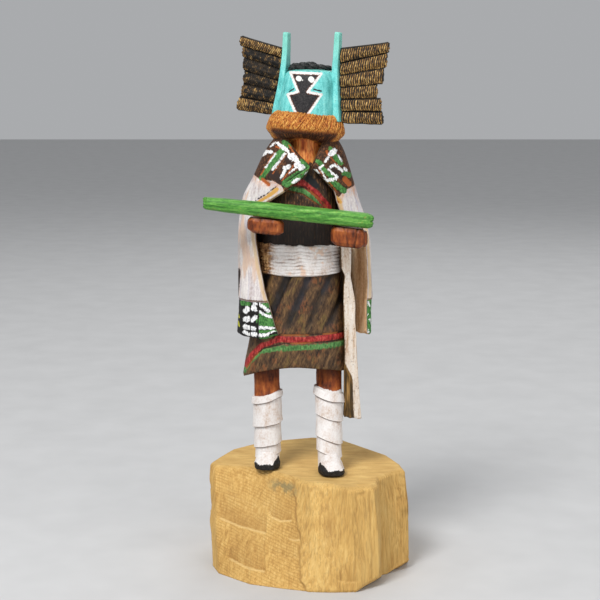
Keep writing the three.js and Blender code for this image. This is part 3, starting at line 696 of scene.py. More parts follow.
def dressFinish():
    # thin brown over wood, rubbed along the drape; red and green bands; painted shade, nearly black, in the
    # folds
    finish = Finish("dress_paint")
    drape = finish.x - finish.z * dress["foldLean"]
    turned = finish.node("ShaderNodeCombineXYZ", {},
                         {0: drape * 0.9, 1: finish.y * 0.5, 2: finish.z * 0.16})
    streak = finish.node("ShaderNodeTexNoise", {},
                         {"Vector": turned, "Scale": 1.0, "Detail": 5.0, "Roughness": 0.62}, "Fac")
    fine = finish.noise(1.6, 4, (1, 1, 0.4), 0.65)
    blot = finish.noise(0.22, 3)
    colour = finish.ramp(streak * 0.55 + fine * 0.45, (0.36, 30, 21, 13), (0.45, 68, 47, 29),
                         (0.54, 98, 72, 45), (0.62, 126, 94, 58), (0.7, 156, 122, 80))
    rust = blot.rising(0.5, 0.62) * fine.rising(0.42, 0.6)
    colour = finish.mixed(rust * 0.5, colour, tone(136, 74, 36))
    olive = finish.noise(0.3, 3, (1, 1, 0.5)).rising(0.54, 0.64) * streak.rising(0.45, 0.6)
    colour = finish.mixed(olive * 0.45, colour, tone(120, 100, 46))
    # painted shade, nearly black, in the drape folds
    dark = (finish.mark("fold") * 1.5 * (0.7 + blot)).least(1.0)
    colour = finish.mixed(dark * 0.9, colour, finish.ramp(blot, (0.42, 22, 15, 9), (0.6, 30, 33, 40)))
    bodice = finish.z.rising(*dress["bodiceFrom"]) * (1 - finish.mark("fold"))
    comb = ((finish.x * 7.5 + finish.noise(0.8, 2) * 6).sine()).rising(0.1, 0.9) * fine.rising(0.45, 0.6)
    colour = finish.mixed(bodice * 0.72, colour,
                          finish.mixed(comb * 0.6, tone(34, 22, 15), tone(150, 108, 66)))
    under = finish.z.falling(*dress["shadeTo"]) * finish.z.rising(96.5, 98)
    colour = finish.mixed(under * 0.85, colour, tone(22, 15, 12))
    black = (finish.mark("black") + (fine - 0.5) * 1.2).falling(-0.15, 0.15)
    colour = finish.mixed(black, colour, tone(20, 22, 25))
    wornGreen = (finish.mark("green") + (fine - 0.5) * 2.6 * (0.4 + streak)).falling(-0.15, 0.15)
    colour = finish.mixed(wornGreen, colour, finish.ramp(fine, (0.4, 52, 96, 44), (0.62, 104, 156, 88)))
    wornRed = (finish.mark("red") + (fine - 0.5) * 1.1).falling(-0.12, 0.12)
    colour = finish.mixed(wornRed, colour, finish.ramp(fine, (0.38, 104, 20, 18), (0.52, 160, 36, 34),
                                                       (0.66, 196, 84, 74)))
    line = (finish.mark("gap") + (fine - 0.5) * 0.5).falling(0.02, 0.16)
    colour = finish.mixed(line * 0.85, colour, finish.ramp(blot, (0.45, 40, 20, 8), (0.58, 156, 88, 34)))
    return finish.done(colour, 0.6, streak * 0.6 + fine * 0.4, 0.3)


sash = {
    "bottom": 59.1, "top": 68.6, "proud": 0.75, "cords": 9, "groove": 0.34,
    "bareTo": [-12.3, -9.9], "bareFrom": [8.7, 9.3],  # where the white paint begins and ends
}


def sashPiece(finish):
    # a band that stands proud of the dress, grooved between its cords: groove * |cos(pi cords v)|^5
    angle = frontward(230)
    v = np.linspace(0, 1, 96)[:, None]
    ragged = 0.28 * ringNoise(angle, 7, 0, 31) + 0.2 * ringNoise(angle, 16, 0, 32)
    z = sash["bottom"] + (sash["top"] - sash["bottom"] + ragged) * v
    edge = 1 - (2 * v - 1) ** 24
    wobble = 0.2 * ringNoise(angle, 2.2, v * 3, 33)
    wobble = wobble + 0.12 * ringNoise(angle, 7, v * 9, 34)
    groove = np.abs(np.cos(np.pi * (sash["cords"] * v + wobble))) ** 5
    groove = groove * (0.55 + 0.6 * ringNoise(angle, 5, v * 7, 35)).clip(0.1, 1)
    x, y = dressPoint(z, angle, sash["proud"] * edge - sash["groove"] * groove * edge - 0.7 * (1 - edge))
    z = z - 0.9 * np.maximum(0, np.cos(angle)) * v - 0.6 * np.maximum(0, -np.sin(angle)) ** 3
    return build("sash", [patch(*onFigure(x, y, z), marks={"groove": groove + 0 * z})], finish)


def sashFinish():
    # white cords, brown between them; bare brown wood at both ends
    finish = Finish("sash_paint")
    white, fine = whitePaint(finish)
    streak = finish.noise(1.2, 4, (0.12, 0.3, 1.4), 0.65)
    # brown in the grooves between the cords, where the streaks fall
    grooveBrown = (finish.mark("groove") * streak.rising(0.4, 0.62)).least(0.9)
    colour = finish.mixed(grooveBrown, white, tone(124, 98, 84))
    blush = finish.noise(0.4, 3).rising(0.56, 0.68)
    colour = finish.mixed(blush * 0.5, colour, tone(226, 176, 132))
    bare = finish.ramp(finish.noise(1.1, 4, (1, 1, 0.4)), (0.38, 96, 62, 36), (0.5, 160, 114, 70),
                       (0.64, 208, 168, 116))
    worn = (finish.x + (streak - 0.5) * 4.5 + (fine - 0.5) * 2).falling(*sash["bareTo"])
    end = finish.x.rising(*sash["bareFrom"]) * 0.6
    colour = finish.mixed(worn.most(end), colour, bare)
    return finish.done(colour, 0.75, fine * 0.5 + streak * 0.5, 0.15)


sashEnd = {
    "back": 1.2, "ridge": 0.58,
    # height, left edge, right edge, front
    "stations": [
        [15.2, 12.2, 17.4, -5.2], [27, 12.3, 16.5, -5.8], [39, 12.3, 15.8, -6.4],
        [51.6, 11.8, 15.2, -6.6], [55.5, 11.9, 14.5, -6.8], [58.6, 12.2, 13.9, -6.4],
        [61, 11.1, 14, -7.4], [67.4, 10.9, 14, -7.6],
    ],
}


def sashEndPiece(finish):
    # a hanging strip: a six sided outline, ridged at the front, carried up its stations
    table = np.array(sashEnd["stations"])
    z = np.linspace(table[0, 0], table[-1, 0], 110)[:, None]
    left, right, front = (np.interp(z, table[:, 0], table[:, i]) for i in (1, 2, 3))
    ridge = 0.04 + (sashEnd["ridge"] - 0.04) * (1 - rising(z, 27, 33))
    middle = left + (right - left) * ridge
    back = sashEnd["back"] + 0 * z
    corners = [[middle, front], [right, front + 0.7], [right, back], [middle, back], [left, back],
               [left, front + 2.2]]
    t = np.concatenate([np.linspace(i, i + 1, n, endpoint=False)
                        for i, n in enumerate((18, 10, 6, 6, 10, 14))])
    i, share = t.astype(int), t % 1
    xs = np.hstack([corner[0] for corner in corners + corners[:1]])
    ys = np.hstack([corner[1] for corner in corners + corners[:1]])
    x = xs[:, i] * (1 - share) + xs[:, i + 1] * share
    y = ys[:, i] * (1 - share) + ys[:, i + 1] * share
    wave = 0.16 * noise(x * 0.5, y * 0.5, z * 0.2, 41) + 0.05 * noise(x * 2, y * 2, z * 0.4, 42)
    facing = np.where(i < 2, 1.0, 0.0) - (i == 0) * (share < 0.06) * 0.5
    z = z + 0 * x + 0.35 * noise(x * 0.6, y * 0.6, 0, 43) * (1 - rising(z, 15.4, 18))
    marks = {"painted": facing + 0 * z}
    return build("sash_end", [patch(*onFigure(x + wave, y + wave, z), marks=marks)], finish)


def sashEndFinish():
    # cream on its front; bare brown wood on its sides, darkened as painted shade of the sides turned from
    # the light
    finish = Finish("sash_end_paint")
    fine = finish.noise(2.4, 4, (1, 1, 0.5), 0.65)
    streak = finish.noise(0.9, 4, (1, 1, 0.12))
    cream = finish.ramp(streak * 0.6 + fine * 0.4, (0.36, 186, 152, 122), (0.46, 218, 200, 180),
                        (0.58, 232, 222, 210), (0.7, 240, 234, 226))
    speck = finish.noise(1.3, 3).rising(0.62, 0.7) * 0.6
    cream = finish.mixed(speck, cream, tone(112, 84, 60))
    # the sides' brown is bare wood and painted shade together
    bare = finish.ramp(streak, (0.4, 58, 44, 22), (0.52, 112, 84, 44), (0.64, 168, 128, 72))
    share = (finish.mark("painted") + (fine - 0.5) * 0.4).rising(0.4, 0.6)
    return finish.done(finish.mixed(share, bare, cream), 0.72, streak * 0.5 + fine * 0.5, 0.15)


# shawl

shawl = {
    "bottom": 40.4, "top": 99.2, "thickness": 1.9,
    "middleX": [[40, 0.3], [54, 0.8], [69, 0.5], [76, -0.2], [82, -0.7], [87, -0.2], [92, 0.2],
                [99, 0.7]],
    "middleY": [[40, 0.5], [60, 0.5], [76, 0], [87, -0.3], [99, -0.5]],
    "halfWidth": [
        [40, 20.6], [54, 20.1], [69, 19.8], [76, 18.7], [82, 17], [87, 14.9], [92, 13], [96, 11.2],
        [99.2, 9],
    ],
    "halfDepth": [[40, 11.6], [60, 11.2], [76, 10.8], [87, 10], [92, 9.3], [96, 8.2], [99.2, 6.8]],
    "swing": 5, "foldDepth": 0.4,
    # its two front edges, seen from the front: [height, x]
    "rightEdge": [
        [38, -7.3], [41.6, -7.9], [51.2, -10.9], [55, -12.1], [62, -13.6], [69.5, -14.8], [74, -15],
        [78.6, -13.6], [81, -10], [83.8, -5.4], [86.8, -1.2], [90.3, 2.1], [91.1, 2.3], [94.6, -1.6],
        [98.2, -4.9], [102, -7],
    ],
    "leftEdge": [
        [75.6, 12.6], [78.4, 11.2], [84, 9.6], [88.2, 5.4], [90.3, 3], [91.1, 2.5], [97.4, 6], [102, 8],
    ],
    "leftEdgeY": -4.2,
    "band": 51.2,  # the ledge over the border, above the soles
    "blackTo": 81.5,  # height of its black paint in the CAD frame
    # the shoulders' painted cloth ends on this line, seen from the front: [x, z]
    "yoke": [
        [-20, 89.5], [-14.8, 88.4], [-12.7, 87.2], [-8.8, 86.9], [-6.2, 85.4], [-4.6, 82], [1, 80],
        [8.6, 80.4], [10.6, 82.4], [11.9, 84], [14.4, 84.8], [20, 88.5],
    ],
}

# embroidery painted on the shawl, each a [x, z, x, z, width] brush stroke seen from the front
strokes = {
    "green": [
        [-5.6, 97.8, -4.4, 97, 1.4], [-6.3, 95.3, -10.1, 90.7, 1.9], [-10.1, 90.7, -12.2, 87.6, 1.6],
        [-0.5, 92.5, 1.1, 90.9, 1.5], [0.5, 90.4, -5.5, 86.3, 1.5], [1.5, 89.4, -4.9, 85.5, 1.1],
        [7.8, 96.2, 8.7, 95.5, 1.1], [9.2, 93.8, 10.9, 91.9, 1.4], [4.3, 92.5, 5.2, 91.6, 1.4],
        [5.4, 90.7, 8.3, 87.8, 1.3], [8.3, 86.6, 11.9, 83.9, 1.7], [11.9, 89, 13.5, 88.2, 1.5],
        [-11.9, 50.2, -9.6, 50.3, 1.6], [-12.6, 45.6, -9.2, 45.3, 2.6], [-12.6, 42.5, -8.4, 42.5, 1],
        [-13, 40.6, -8.2, 40.6, 0.8], [-12.8, 47.4, -10, 47.8, 1.2], [-18.3, 50.3, -16, 50.4, 1.3],
    ],
    "white": [
        [-14.2, 91.9, -12.8, 93.8, 0.7], [-12.8, 93.8, -11, 94.9, 1.3], [-11, 94.9, -9.4, 95.1, 0.9],
        [-9.4, 96.6, -8.6, 97.4, 0.6], [-8.6, 97.4, -7.2, 97.8, 0.5], [-7, 97.1, -4.9, 95.7, 1.1],
        [-8.1, 94.6, -11.2, 90.6, 0.55], [-5.3, 94.8, -8.6, 90.3, 0.6], [-7.6, 91.8, -9, 90.1, 0.8],
        [-4.4, 95, -3.7, 93.8, 0.8], [-3.9, 93.9, -2.2, 93, 1.4], [-3, 94.6, -2.1, 93.6, 0.7],
        [-5.4, 90.6, -4.1, 91, 1.2], [-5.2, 90.2, -5.8, 88.9, 0.9], [-5.8, 88.9, -6.4, 87.8, 0.6],
        [-1.9, 91.3, -0.3, 90.8, 1.7], [-1.3, 92.1, -0.8, 90.4, 1.2], [-1.5, 91.2, -4.1, 89.2, 0.45],
        [-2.9, 86.6, -1.2, 87.5, 0.9], [0.6, 88.8, 1.4, 89.4, 0.6], [8.2, 94.7, 9, 95.4, 1.6],
        [7.3, 93.6, 6.3, 92.4, 0.8], [10.2, 94.1, 11.2, 92.4, 0.45], [4.6, 91, 6.8, 87.1, 0.3],
        [5.6, 91.4, 4.9, 90.7, 0.6], [3.3, 89.6, 4, 88.8, 1.4], [5.1, 87.2, 6.2, 87.1, 0.9],
        [7.2, 87, 9.4, 87.5, 0.9], [7.3, 90.2, 8.9, 88.7, 0.6], [8, 90.9, 9.2, 91.4, 0.8],
        [9.2, 91.4, 11.4, 89.7, 0.8], [8.9, 88.7, 9.9, 87.9, 0.7], [11.9, 90.2, 12.6, 89.7, 0.8],
        [-17.2, 48, -16.5, 49, 1.5], [-17.4, 45.5, -16.4, 46, 1.6], [-17.6, 43.4, -16.5, 43.3, 1.4],
        [-17.9, 41.8, -16.5, 41.3, 1.1], [-14.3, 50.6, -14.9, 49, 1], [-14.4, 49.8, -14.1, 48.6, 0.7],
        [-15.2, 45.6, -14.1, 46.8, 1.1], [-15.2, 43.3, -14.5, 43.2, 1.2], [-15, 41.4, -14.3, 41.7, 1.4],
        [-12.9, 50.5, -10.3, 48.7, 0.9], [-12.9, 48.4, -9.6, 46.9, 0.8], [-12.9, 43.7, -8.9, 43.6, 0.9],
        [-13, 41.5, -10, 41.7, 0.9], [-10, 41.7, -8.6, 42.2, 0.6],
    ],
    "brown": [
        [-4.8, 93.3, -3.9, 92.1, 1.2], [-8.7, 88.8, -6.9, 87.4, 2.6], [2.8, 88.6, 9.6, 81.2, 2.3],
        [8.7, 90.2, 10.9, 87.8, 1.3], [-18.5, 60.2, -19.8, 51.2, 1], [-7.6, 85.4, -10.4, 83.2, 0.3],
        [-10.4, 83.2, -14.2, 80.9, 0.25],
    ],
    "orange": [
        [-8.2, 96.6, -7, 96.2, 0.5], [-8.7, 95, -12.6, 88.4, 0.3], [-4.9, 94.7, -9, 89, 0.3],
        [-1.5, 93, -6.4, 86.9, 0.35], [-4.3, 97, -1.6, 93.3, 0.35], [6.9, 95.3, 7.4, 94.3, 0.8],
        [7.4, 94.4, 10, 91.4, 0.3], [12.3, 87.3, 13.6, 85.8, 1.5], [4.6, 90, 10.4, 83.3, 0.25],
        [-12, 87.2, -10.2, 85.7, 1], [9.4, 82.4, 10.6, 80.4, 0.6],
    ],
    "line": [
        [1, 90.6, -5, 86.6, 0.25], [-15.9, 50.6, -15.9, 41, 0.25], [-13.5, 51, -13.5, 40.6, 0.35],
        [-18.4, 47, -13.4, 46.9, 0.25], [-18.4, 44.5, -13.4, 44.4, 0.25], [-18.4, 42.4, -13.4, 42.4, 0.2],
    ],
    "gold": [[-7.6, 84.5, -10.4, 82.3, 1.1], [-10.4, 82.3, -14.2, 80, 0.9], [-4.2, 96.9, -1.5, 93.2, 0.3],
             [9.8, 82.2, 11, 80.6, 0.8]],
    "yellow": [[-19.9, 48.6, -19.8, 47.6, 0.5], [-19.8, 46.4, -19.6, 45.7, 0.6],
               [-19.8, 44.2, -19.6, 43.1, 0.6]],
}


def shawlPoint(z, angle, depth=0.0):
    # a squared oval, depth inside the shawl's face, whose left side swings back below the sleeve
    halfWidth = along(shawl["halfWidth"], z) - depth
    x, y = oval(angle, halfWidth, along(shawl["halfDepth"], z) - depth, 2.45)
    leftSide = np.maximum(0, np.cos(angle)) * (1 - rising(z, 72, 84))
    swing = shawl["swing"] * leftSide * rising(np.sin(angle), -0.3, 0.5)
    return along(shawl["middleX"], z) + x - swing, along(shawl["middleY"], z) + y


def shawlPiece(finish):
    # a thick sheet in rows up its height: each row runs on its outside from the right front edge round the
    # back to the left one, and returns on its inside; the edges' angles are looked up in the oval's x and y
    low, high = shawl["bottom"], shawl["top"]
    painted = spread(lambda v: 1 + 1.6 * (np.abs(v - 0.09) < 0.1) + 2.2 * (np.abs(v - 0.87) < 0.13), 127)
    heights = low + (high - low) * np.append(painted, 1)
    quarter = np.linspace(-0.4, np.pi / 2, 1000)
    ahead = quarter >= 0
    edgeRight = np.interp(heights, *np.array(shawl["rightEdge"]).T)
    edgeLeft = np.interp(heights, *np.array(shawl["leftEdge"]).T)
    hanging = 1 - rising(heights, 74.2, 75.8)
    start, stop = np.empty(len(heights)), np.empty(len(heights))
    for row, height in enumerate(heights):  # one look-up a row
        x, _ = shawlPoint(height, -np.pi / 2 - quarter)
        start[row] = -np.pi / 2 - np.interp(-edgeRight[row], -x, quarter)
        x, y = shawlPoint(height, -np.pi / 2 + quarter)
        sleeve = np.interp(edgeLeft[row], x, quarter)
        hang = np.interp(shawl["leftEdgeY"], y[ahead], quarter[ahead])
        stop[row] = -5 * np.pi / 2 + sleeve + (hang - sleeve) * hanging[row]
    u = np.append(spread(lambda v: 1 + 3.4 * (v < 0.17) + 3 * (v > 0.86), 299), 1)[None]
    angle = start[:, None] + (stop - start)[:, None] * u
    z = heights[:, None] + 0 * u
    plainX, plainY = shawlPoint(z, angle)
    step = np.hypot(np.diff(plainX, axis=1), np.diff(plainY, axis=1))
    run = np.hstack([0 * z[:, :1], np.cumsum(step, axis=1)])
    left = run[:, -1:] - run
    edge = np.minimum(run, left)
    behind = rising(np.sin(angle), -0.15, 0.6)
    loose = 1 - rising(z, 60, 90)
    front = np.where(plainY < -1, 0, 9.0)
    tell = {name: lineDistance(plainX, z, lines) + front for name, lines in strokes.items()}
    fold = shawl["foldDepth"] * (1 - np.cos(14 * angle)) * behind * loose
    soft = 0.3 * noise(run * 0.16, 0, z * 0.05, 51) + 0.12 * noise(run * 0.6, 0, z * 0.12, 52)
    groove = 0.3 * np.exp(-(np.minimum(tell["orange"], tell["line"]).clip(0) / 0.2) ** 2)
    ledge = 0.3 * rising(z, shawl["band"] + 0.35, shawl["band"] + 0.1)
    rounded = np.sqrt(np.clip(1 - (1 - np.minimum(1, edge / 0.9)) ** 2, 0.1, 1))
    rounded = rounded * np.sqrt(np.clip(1 - (1 - np.minimum(1, (z - low) / 0.8)) ** 2, 0.12, 1))
    middle = shawl["thickness"] / 2
    deep = fold + soft * loose + groove + ledge
    outX, outY = shawlPoint(z, angle, deep + middle * (1 - rounded))
    inX, inY = shawlPoint(z, angle, np.minimum(deep, 0.6) * 0.6 + middle * (1 + rounded))
    hemLift = ((1.1 * np.exp(-(run / 2.2) ** 2) + 0.7 * np.exp(-(left / 1.5) ** 2))
               * (1 - rising(z, low, low + 4)))
    z = z + hemLift + 0.2 * noise(run * 0.5, 0, 0, 53) * (1 - rising(z, low, low + 3))

    yoke = np.interp(plainX, *np.array(shawl["yoke"]).T)
    yoke = np.where(plainY < -1, yoke, 88.6 + 0.8 * np.sin(run * 1.1)) - z
    lane = (run * 0.42 + z * 0.1) % 1
    dash = (z * 0.34 + np.floor(run * 0.42 + z * 0.1) * 0.37) % 1
    ring = np.where(plainY < -1, 9.0, 0)
    cellX, cellZ = (run / 2.7) % 1 - 0.5, ((z - low) / 2.7) % 1 - 0.5
    lozenge = np.abs(cellX) * 2.7 + np.abs(cellZ) * 2.7 - 1.05
    inBand = np.where(z < shawl["band"], 0, 9.0)
    back = np.where((run > 12) & (left > 5), 0, 9.0) + np.where(plainY < -1, 9.0, 0)
    leftEnd = np.where(left < 7, 0, 9.0)
    backGreen = np.abs(lane - 0.5) * 2.4 - 0.55
    backWhite = np.maximum(np.abs(lane - 0.85) * 2.4 - 0.35, (np.abs(dash - 0.5) - 0.3) * 3)
    tell["green"] = np.minimum(tell["green"], backGreen + ring + (yoke > 0) * 9)
    tell["green"] = np.minimum(tell["green"], inBand + leftEnd - 1)
    tell["white"] = np.minimum(tell["white"], backWhite + ring + (yoke > 0) * 9)
    tell["white"] = np.minimum(tell["white"], lozenge + inBand + back)
    dashes = np.maximum(np.abs(((left + z * 0.5) / 2.2) % 1 - 0.5) * 2.2 - 0.3, np.abs(cellZ) * 2.7 - 0.9)
    tell["white"] = np.minimum(tell["white"], dashes + inBand + leftEnd)
    tell["yoke"] = yoke
    tell["edge"] = edge
    marks = {name: np.hstack([value, 0 * value + 9]) for name, value in tell.items()}
    marks["inside"] = np.hstack([0 * z, 0 * z + 1])
    x, y, z = (np.hstack([outer, inner[:, ::-1]]) for outer, inner in ((outX, inX), (outY, inY), (z, z)))
    shape = patch(*onFigure(x, y, z), start="strip", end="strip", marks=marks)
    return build("shawl", [shape], finish)


def shawlFinish():
    # chalky white with lilac and tan streaks; painted embroidery on brown and black; a tan lining
    finish = Finish("shawl_paint")
    fine = finish.noise(2.0, 4, (1, 1, 0.6), 0.65)
    streak = finish.noise(0.55, 4, (1, 1, 0.13), 0.6)
    colour = finish.ramp(streak * 0.65 + fine * 0.35, (0.36, 176, 158, 150), (0.45, 204, 194, 194),
                         (0.54, 226, 219, 214), (0.66, 238, 234, 230))
    lilac = finish.noise(0.4, 3, (1, 1, 0.15)).rising(0.52, 0.64)
    colour = finish.mixed(lilac * 0.45, colour, tone(176, 172, 194))
    tan = finish.noise(0.28, 3, (1, 1, 0.25)).rising(0.53, 0.64)
    colour = finish.mixed(tan * 0.6, colour, tone(220, 178, 140))
    yoke = finish.mark("yoke")
    scorch = yoke.falling(0.2, 3.2) * fine.rising(0.4, 0.62)
    colour = finish.mixed(scorch * 0.75, colour, tone(196, 128, 70))
    rim = finish.mark("edge").falling(0.35, 0.9)
    colour = finish.mixed(rim * 0.7, colour, tone(214, 180, 128))
    earth = finish.ramp(fine, (0.38, 36, 20, 12), (0.5, 70, 42, 24), (0.64, 120, 76, 44))
    colour = finish.mixed((yoke + (fine - 0.5) * 0.8).falling(-0.12, 0.12), colour, earth)
    outside = 1 - finish.mark("inside")
    blackTo = shawl["blackTo"]
    band = (finish.z + (fine - 0.5) * 0.9).falling(blackTo - 0.2, blackTo) * outside
    colour = finish.mixed(band, colour, tone(22, 20, 19))
    seam = (finish.z + (fine - 0.5) * 0.9 - (blackTo + 0.25)).size().falling(0.15, 0.4) * outside
    colour = finish.mixed(seam * 0.85, colour, tone(92, 54, 28))
    edgeNoise = finish.noise(1.6, 3, (1, 1, 1), 0.7)

    def brushed(colour, name, over, rough=0.7):
        share = (finish.mark(name) + (edgeNoise - 0.5) * rough).falling(-0.08, 0.08)
        return finish.mixed(share, colour, over)

    colour = brushed(colour, "brown", tone(48, 32, 26), 1.4)
    colour = brushed(colour, "gold", tone(214, 162, 84), 0.8)
    colour = brushed(colour, "green", finish.ramp(fine, (0.4, 40, 92, 40), (0.6, 88, 146, 74)), 1.3)
    colour = brushed(colour, "orange", tone(168, 88, 38), 0.9)
    colour = brushed(colour, "white", finish.ramp(fine, (0.4, 190, 190, 192), (0.52, 244, 244, 242)), 1.5)
    colour = brushed(colour, "line", tone(24, 17, 14), 0.3)
    colour = brushed(colour, "yellow", tone(206, 204, 60), 0.3)
    lining = finish.ramp(streak * 0.7 + fine * 0.3, (0.38, 176, 134, 94), (0.5, 216, 178, 136),
                         (0.62, 238, 212, 176))
    shade = (finish.x + (streak - 0.5) * 2).falling(10.9, 13.1)
    lining = finish.mixed(shade * 0.75, lining, tone(66, 44, 26))
    colour = finish.mixed(finish.mark("inside").rising(0.4, 0.6), colour, lining)
    return finish.done(colour, 0.75, streak * 0.4 + fine * 0.6, 0.16)


# arms

fists = {
    "right": {
        "middle": [-10.8, -14.6, 74.3], "half": [5.2, 3, 2.2], "elbow": [-13.4, -3, 75],
        "wrist": [-12.2, -13, 74.3],
        "nicks": [[-1.6, 0.5, 0.35], [1.4, 0.6, 0.3]],
    },
    "left": {
        "middle": [12.9, -15.4, 71.2], "half": [4.9, 3, 2.8], "elbow": [14.8, -3, 72.4],
        "wrist": [14.2, -13.5, 71.4],
        "nicks": [[-0.6, -0.6, 0.3], [2.1, 0.5, 0.6]],
    },
}
thumb = {"middle": [16.6, -14.2, 70.7], "half": [1.9, 2.4, 2.2], "nicks": []}
bundle = {"ends": [[-28.5, -14.7, 80.9], [19.8, -17, 75.9]], "halfHeight": 2.2, "halfDepth": 2.6}


def fistShape(hand, seed):
    # a squared oval carried up its height, chamfered at both ends, nicked between the fingers
    (ax, _, az), (bx, _, bz) = bundle["ends"]
    slope = (bz - az) / (bx - ax)
    half, middle = hand["half"], hand["middle"]
    t = np.linspace(-1, 1, 46)[:, None]
    size = np.interp(t, [-1, -0.55, 0.6, 1], [0.72, 1, 1, 0.86])
    angle = circle(100)
    x, y = oval(angle, half[0] * size, half[1] * size, 3.2)
    face = rising(-np.sin(angle), 0, 0.5)
    nick = (sum(np.exp(-((x - at - lean * t) / 0.22) ** 2) * depth for at, lean, depth in hand["nicks"])
            * face + 0 * x)
    chips = (noise(x * 0.45, y * 0.45, t * 1.3, seed) * 0.22
             + noise(x * 1.4, y * 1.4, t * 4, seed + 1) * 0.06)
    y = y + nick * 1.1
    z = t * half[2] + slope * x
    # painted shade on the chamfered ends and in the nicks between the fingers
    worn = np.maximum(rising(np.abs(t), 0.8, 1), 0) * 0.6 + nick
    x, y = x * (1 + chips / 6), y + chips
    return patch(*onFigure(x + middle[0], y + middle[1], z + middle[2]), marks={"nick": worn})


def armPiece(side, finish):
    # circles carried from elbow to wrist, and the fist
    arm = fists[side]
    start, end = np.array(arm["elbow"]), np.array(arm["wrist"])
    t = np.linspace(0, 1, 30)[:, None]
    radius = np.interp(t, [0, 0.5, 0.93, 1], [2.9, 2.6, 2.1, 1.2])
    angle = circle(60)
    x, y, z = (start[i] + (end[i] - start[i]) * t for i in range(3))
    forearm = patch(*onFigure(x + radius * np.cos(angle), y + 0 * angle, z + radius * np.sin(angle)),
                    marks={"nick": 0 * t + 0 * angle})
    shapes = [forearm, fistShape(arm, 61)]
    if side == "left":
        shapes.append(fistShape(thumb, 65))
    return build(f"arm_{side}", shapes, finish)


def handFinish():
    finish = Finish("hand_stain")
    colour, streak = skinColour(finish)
    # painted shade, dark brown, in the finger nicks and on the chamfered ends
    colour = finish.mixed((finish.mark("nick") * 1.2 * (0.5 + streak)).least(0.9), colour,
                          tone(48, 18, 7))
    return finish.done(colour, 0.5, streak, 0.2)


def bundlePiece(finish):
    # a squared oval carried between the bundle's ends, grooved lengthwise between blades
    (start, end) = (np.array(p) for p in bundle["ends"])
    t = np.concatenate([np.linspace(0, 0.03, 12), np.linspace(0.035, 0.965, 150),
                        np.linspace(0.97, 1, 12)])[:, None]
    size = np.interp(t, [0, 0.012, 0.12, 0.4, 0.7, 0.97, 0.99, 1], [0.62, 0.8, 0.9, 1, 1, 1, 0.86, 0.66])
    angle = circle(100)
    y, z = oval(angle, bundle["halfDepth"] * size, bundle["halfHeight"] * size, 2.8)
    drift = 0.8 * noise(t * 5, 0, 0, 71) + 0.3 * noise(t * 9, np.cos(angle) * 2, np.sin(angle) * 2, 72)
    blade = np.abs(np.cos(4.5 * angle + drift)) ** 10
    chips = 0.02 * noise(t * 40, np.cos(angle) * 4, np.sin(angle) * 4, 73)
    shrink = 1 - 0.016 * blade + chips
    x, middleY, middleZ = (start[i] + (end[i] - start[i]) * t for i in range(3))
    x = x + 0.35 * ringNoise(angle, 3, 0 * t, 74) * (np.abs(2 * t - 1) > 0.97)
    shape = patch(*onFigure(x, middleY + y * shrink, middleZ + z * shrink), marks={"blade": blade})
    return build("yucca_blades", [shape], finish, ["yucca_bundle"])


def bundleFinish():
    # green brushed lengthwise: light strokes over darker ones; painted shade, darkest between blades
    finish = Finish("yucca_paint")
    stroke = finish.noise(1.1, 4, (0.13, 1, 1.1), 0.65)
    fine = finish.noise(2.6, 4, (0.4, 1, 1), 0.65)
    colour = finish.ramp(stroke * 0.6 + fine * 0.4, (0.36, 40, 92, 30), (0.46, 70, 134, 48),
                         (0.56, 100, 164, 66), (0.68, 142, 192, 96))
    # painted shade in the grooves between blades
    colour = finish.mixed((finish.mark("blade") * 0.4).least(0.4), colour, tone(40, 84, 28))
    speck = finish.noise(1.0, 3).rising(0.63, 0.7) * 0.5
    colour = finish.mixed(speck, colour, tone(150, 140, 60))
    return finish.done(colour, 0.5, stroke * 0.5 + fine * 0.5, 0.2)


# neck and head

neck = {"radius": [[86, 6.4], [93, 5.4], [97, 4.6], [101, 5.2]], "middle": [1, -0.9], "bottom": 86,
        "top": 101}
head = {"pivot": [0.75, -0.5, 101.1], "turn": -16, "tip": 4.5}


def onHead(x, y, z):
    # turned about the up axis, then tipped sideways, then moved to the middle of the ruff
    turn, tip = math.radians(head["turn"]), math.radians(head["tip"])
    x, y = x * math.cos(turn) - y * math.sin(turn), x * math.sin(turn) + y * math.cos(turn)
    x, z = x * math.cos(tip) + z * math.sin(tip), z * math.cos(tip) - x * math.sin(tip)
    return x + head["pivot"][0], y + head["pivot"][1], z + head["pivot"][2]


def neckPiece(finish):
    # circles whose radius follows the throat, fluted finely up and down
    z = np.linspace(neck["bottom"], neck["top"], 40)[:, None]
    angle = circle(150)
    flute = ringNoise(angle, 14, z * 0.12, 81)
    radius = along(neck["radius"], z) + 0.12 * flute
    x = neck["middle"][0] + radius * np.cos(angle)
    y = neck["middle"][1] + radius * np.sin(angle)
    # painted shade: darker under the ruff, at the sides that turn away and in the flutes' troughs
    marks = {"nick": 0.4 * rising(z, 98.5, 101) + 0.5 * rising(np.abs(x - 1.5), 2.8, 4.8)
             + 0.25 * (flute < -0.3)}
    return build("neck", [patch(*onFigure(x, y, z + 0 * angle), marks=marks)], finish)


def neckFinish():
    finish = Finish("throat_stain")
    streak = finish.noise(1.6, 4, (1, 1, 0.12), 0.6)
    colour = finish.ramp(streak, (0.38, 160, 70, 24), (0.5, 222, 122, 50), (0.62, 244, 164, 84))
    # painted shade under the ruff, at the sides and in the flutes
    colour = finish.mixed((finish.mark("nick") * (0.4 + streak)).least(0.7), colour, tone(96, 40, 14))
    return finish.done(colour, 0.5, streak, 0.2)


